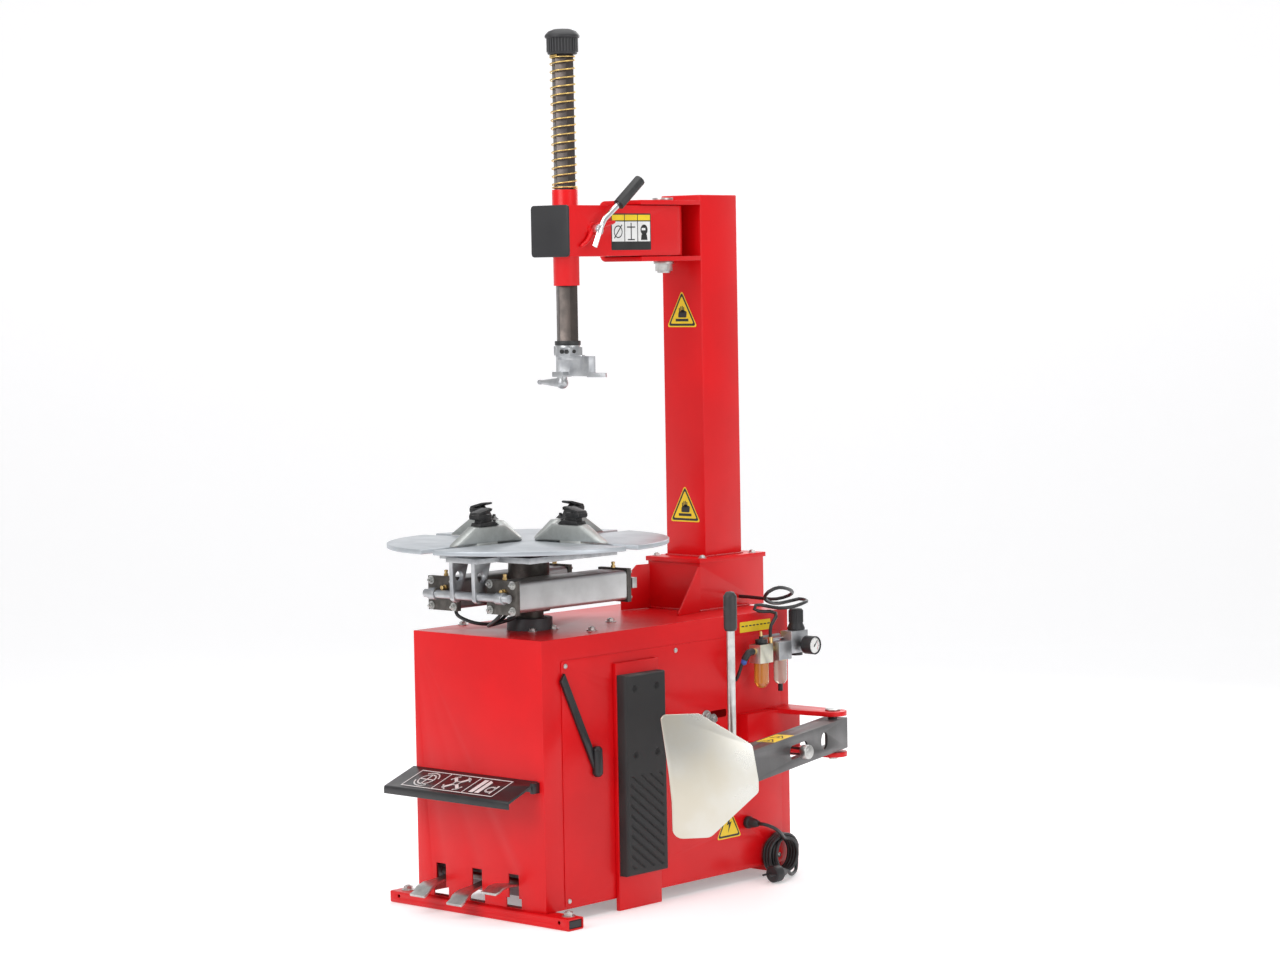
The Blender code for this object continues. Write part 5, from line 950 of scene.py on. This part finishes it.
def weldLines(name, body, lines, radius=0.0028):
    points, edges = [], []
    for line in lines:
        for k, p in enumerate(line):
            points.append(tuple(at(*p)))
            if k:
                edges.append((len(points) - 2, len(points) - 1))
    mesh = bpy.data.meshes.new(name)
    mesh.from_pydata(points, edges, [])
    obj = linked(name, mesh)
    made = applyTree(obj, weldShape, [("Radius", radius), ("Ripple", 0.0007)])
    return placePiece(name, made, None, body, 60)


weldLines("columnWelds", "cabinet", [
    [(-0.059, 0.504, 0.709), (0.059, 0.504, 0.709), (0.059, 0.629, 0.709)],
    [(-0.077, 0.462, 0.5925), (0.078, 0.462, 0.5925), (0.078, 0.627, 0.5925)]])
print("pad, spring and welds made")

# gauge face
gaugeSet = {"ticks": 28, "radius": 0.0172, "span": 270}


def makeGauge(s):
    low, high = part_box("pressure_gauge")
    centre = Vector((high.x, (low.y + high.y) / 2, (low.z + high.z) / 2))
    u, v = Vector((0, 1, 0)), Vector((0, 0, 1))
    dial = [("dialWhite", 0, [ringPoints(0, 0, 0.0177, 40)])]
    ticks = []
    for i in range(s["ticks"] + 1):
        t = math.radians(225 - s["span"] * i / s["ticks"])
        inner = s["radius"] - (0.0036 if i % 4 == 0 else 0.0020)
        ticks += strokes([(r * math.cos(t), r * math.sin(t)) for r in (inner, s["radius"])],
                         0.0007 if i % 4 == 0 else 0.0004)
    ticks += [ringPoints(0, 0, 0.0022, 16)]
    zone = strokes(ringPoints(0, 0, 0.0118, 12, math.radians(-45), math.radians(80)), 0.0010)
    labelPiece("gaugeDial", "cabinet", centre - Vector((0.0025, 0, 0)), u, v,
               dial + [("decalBlack", 1, ticks), ("redPaint", 1, zone)])


makeGauge(gaugeSet)


# grip ribs on the regulator knob and the mast cap
def ribTree(name, look):
    tree, inn, out = geometryTree(name, floats=[("Radius", 0.0153), ("Width", 0.0016), ("Height", 0.026)],
                                  ints=[("Count", 24)])
    ring = addNode(tree, "GeometryNodeMeshCircle", {"Vertices": inn.outputs["Count"],
                                                    "Radius": inn.outputs["Radius"]})
    rib = addNode(tree, "GeometryNodeMeshCylinder", {"Vertices": 8, "Radius": inn.outputs["Width"],
                                                     "Depth": inn.outputs["Height"]})
    place = addNode(tree, "GeometryNodeInstanceOnPoints", {"Points": ring.outputs[0],
                                                           "Instance": rib.outputs[0]})
    return endTree(tree, out, place.outputs[0], look)


def ribRing(name, tree, centre, body, values):
    mesh = bpy.data.meshes.new(name)
    mesh.from_pydata([(0, 0, 0)], [], [])
    obj = linked(name, mesh)
    made = applyTree(obj, tree, values)
    made.transform(Matrix.Translation(centre))
    return placePiece(name, made, None, body, 40)


for name, node, rise, body, values in (
        ("knobRibs", "regulator_knob", 0.030, "knob", (0.0152, 0.0011, 0.026, 26)),
        ("mastCapRibs", "mast_cap", 0.020, "mast_body", (0.0318, 0.0022, 0.030, 30))):
    low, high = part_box(node)
    centre = Vector(((low.x + high.x) / 2, (low.y + high.y) / 2, low.z + rise))
    ribRing(name, ribTree(name, "blackPlastic"), centre, body,
            list(zip(("Radius", "Width", "Height", "Count"), values)))


# claws: foot, waist, serrated block and raked hook
clawSet = {"r": 0.135, "base": 0.8196, "width": 0.028, "waist": 0.019, "teeth": 5}


def radialPrism(bm, outline, width, turn):
    # outline is (outwards, up) from the claw's foot; the prism is thick across the slide
    lowerSide, upperSide = ([bm.verts.new(turn @ Vector((r, y, z))) for r, z in outline]
                            for y in (-width / 2, width / 2))
    bm.faces.new(lowerSide)
    bm.faces.new(upperSide[::-1])
    for i in range(len(outline)):
        j = (i + 1) % len(outline)
        bm.faces.new((lowerSide[j], lowerSide[i], upperSide[i], upperSide[j]))


def makeClaw(number, s):
    bm = bmesh.new()
    turn = Matrix.Translation(at(0, 0, 0)) @ Matrix.Rotation(math.radians(90 * (number - 1)), 4, "Z")
    turn = turn @ Matrix.Translation((s["r"], 0, s["base"]))
    for width, outline in (
            (s["width"], [(-0.036, 0), (0.0225, 0), (0.019, 0.007), (-0.022, 0.009)]),
            (s["waist"], [(-0.020, 0.006), (0.016, 0.005), (0.013, 0.020), (-0.012, 0.020)]),
            (s["width"], [(-0.014, 0.0165), (0.024, 0.0140), (0.0265, 0.0170), (0.0265, 0.0235),
                          (0.014, 0.0250), (-0.010, 0.0240)]),
            (s["width"], [(0.018, 0.0230), (0.0265, 0.0225), (0.023, 0.0285), (-0.012, 0.0370),
                          (-0.0168, 0.0355), (-0.014, 0.0320), (0.006, 0.0280)]),
            (s["waist"] * 0.8, [(-0.006, 0.0235), (0.020, 0.0235), (0.016, 0.0300), (0.002, 0.0300)])):
        radialPrism(bm, outline, width, turn)
    corners = [(0.004, y, z) for y, z in ((-0.0021, 0.0165), (0.0021, 0.0165), (0.0021, 0.0238),
                                          (-0.0021, 0.0238))]
    corners += [(0.0, 0.0, 0.0180), (0.0, 0.0, 0.0225)]
    for k in range(s["teeth"]):
        across = -s["width"] / 2 + (k + 0.5) * s["width"] / s["teeth"]
        tooth = [bm.verts.new(turn @ Vector((x - 0.0165, across + y, z))) for x, y, z in corners]
        for face in ((3, 2, 1, 0), (0, 1, 4), (2, 3, 5), (1, 2, 5, 4), (3, 0, 4, 5)):
            bm.faces.new([tooth[i] for i in face])
    for aside in (-0.0075, 0.0075):
        bmesh.ops.create_cone(bm, segments=6, radius1=0.0036, radius2=0.0036, depth=0.004, cap_ends=True,
                              matrix=turn @ Matrix.Translation((-0.027, aside, 0.0095)))
    bmesh.ops.recalc_face_normals(bm, faces=bm.faces)
    mesh = bevelled(meshOf(bm, "claw"), 0.0007, 2, 25)
    placePiece(f"clawHook{number}", mesh, "blackOxide", f"jaw_{number}", 34, (f"jaw_claw_{number}",))


for number in (1, 2, 3, 4):
    makeClaw(number, clawSet)


# small fittings
def evenWidth(t):
    return 1.0


def tubePiece(name, line, radius, look, body, sides=14, taper=evenWidth):
    # a swept round bar with closed, domed ends; taper gives a radius factor along it
    bm = bmesh.new()
    reference = Vector((0.13, 0.21, 0.97))
    count = len(line)
    stations = [(line[0], line[1] - line[0], f * taper(0), -h * radius) for f, h in ((0.55, 0.6), (0.88, 0.25))]
    for i, p in enumerate(line):
        heading = line[min(i + 1, count - 1)] - line[max(i - 1, 0)]
        stations.append((p, heading, taper(i / (count - 1)), 0.0))
    stations += [(line[-1], line[-1] - line[-2], f * taper(1), h * radius)
                 for f, h in ((0.88, 0.25), (0.55, 0.6))]
    rings = []
    for p, d, scale, shift in stations:
        d = d.normalized()
        u = d.cross(reference).normalized()
        v = d.cross(u)
        turns = [2 * math.pi * j / sides for j in range(sides)]
        rings.append([bm.verts.new(p + d * shift + (u * math.cos(t) + v * math.sin(t)) * radius * scale)
                      for t in turns])
    for a, b in zip(rings, rings[1:]):
        for j in range(sides):
            m = (j + 1) % sides
            bm.faces.new((a[j], a[m], b[m], b[j]))
    bm.faces.new(rings[0][::-1])
    bm.faces.new(rings[-1])
    bmesh.ops.recalc_face_normals(bm, faces=bm.faces)
    return placeMesh(name, bm, look, body, 40)


# name, radius, step, finish, body, slot, route
tubeSet = [
    # pneumatic lines looped under the chuck, from the cylinders to the rotary joint
    ("chuckHose", 0.0038, 0.004, "hoseRubber", "table", "hose", [
        (0.072, -0.150, 0.646), (0.060, -0.158, 0.630), (0.030, -0.150, 0.614), (0.000, -0.120, 0.609),
        (-0.006, -0.085, 0.611), (0.012, -0.062, 0.620), (0.016, -0.046, 0.634)]),
    ("chuckHoseBack", 0.0038, 0.004, "hoseRubber", "table", "hose", [
        (-0.072, -0.150, 0.646), (-0.060, -0.152, 0.628), (-0.030, -0.130, 0.613), (-0.012, -0.090, 0.611),
        (-0.014, -0.050, 0.628)]),
    # red cam lever behind the chrome handle
    ("lockCam", 0.0062, 0.004, "redPaint", "lock", "paint", [
        (0.0605, 0.119, 1.402), (0.0600, 0.136, 1.412), (0.0600, 0.159, 1.4356), (0.0600, 0.190, 1.446),
        (0.0605, 0.220, 1.4525)]),
    # elbow and blue ring at the lubricator's outlet
    ("outletElbow", 0.0078, 0.002, "blackPlastic", "cabinet", "black", [
        (0.238, 0.4500, 0.5135), (0.2375, 0.4400, 0.5130), (0.2360, 0.4330, 0.5080), (0.2330, 0.4285, 0.4985)]),
    ("outletRing", 0.0068, 0.001, "blueBand", "cabinet", "black", [
        (0.2326, 0.4280, 0.4965), (0.2312, 0.4268, 0.4905)]),
]
camWaist = {"ends": 0.55, "hub": 0.5, "from": 0.38, "to": 0.62}


def camWidth(t):
    # slim ends and a round hub halfway
    hub = camWaist["hub"] if camWaist["from"] < t < camWaist["to"] else 0.0
    return 1.15 - camWaist["ends"] * abs(2 * t - 1) ** 1.5 + hub


def makeFittings(tubes):
    for name, radius, step, look, body, slot, route in tubes:
        tubePiece(name, smoothLine([at(*p) for p in route], step), radius, look, body,
                  taper=camWidth if name == "lockCam" else evenWidth)
    # holder for the bead lever
    route = [(0.1975, -0.0085, 0.350), (0.1980, -0.0080, 0.325), (0.1975, -0.0075, 0.300)]
    tubePiece("leverHolder", smoothLine([at(*p) for p in route], 0.004), 0.0115, "blackEnamel", "cabinet",
              16)
    # stop bolt and clip in front of the panel's slot
    placeHardware("slotClip", "hexBolt", "cabinet", [((0.1911, 0.346, 0.378), side, 0.0105),
                                                     ((0.1911, 0.369, 0.371), side, 0.0080)])
    # block that clamps the handle on the breaker arm
    low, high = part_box("breaker_handle")
    foot = Vector(((low.x + high.x) / 2, (low.y + high.y) / 2, 0.360))
    tubePiece("handleSocket", smoothLine([foot + Vector((0, 0, z)) for z in (0, 0.009, 0.018)], 0.004), 0.0125,
              "blackEnamel", "breaker", 20, taper=lambda t: 1.25 - 0.45 * t)
    # plugs in the ends of the base bar
    for name, x in (("barPlugLeft", -0.2600), ("barPlugRight", 0.2600)):
        bm = bmesh.new()
        bmesh.ops.create_cube(bm, size=1.0, matrix=Matrix.Translation(at(x, -0.152, 0.0125))
                              @ Matrix.Diagonal((0.006, 0.0385, 0.0175, 1)))
        bmesh.ops.bevel(bm, geom=bm.edges[:], offset=0.002, segments=3, affect="EDGES", clamp_overlap=True)
        placeMesh(name, bm, "blackPlastic", "cabinet")


makeFittings(tubeSet)
print("claws and fittings made")
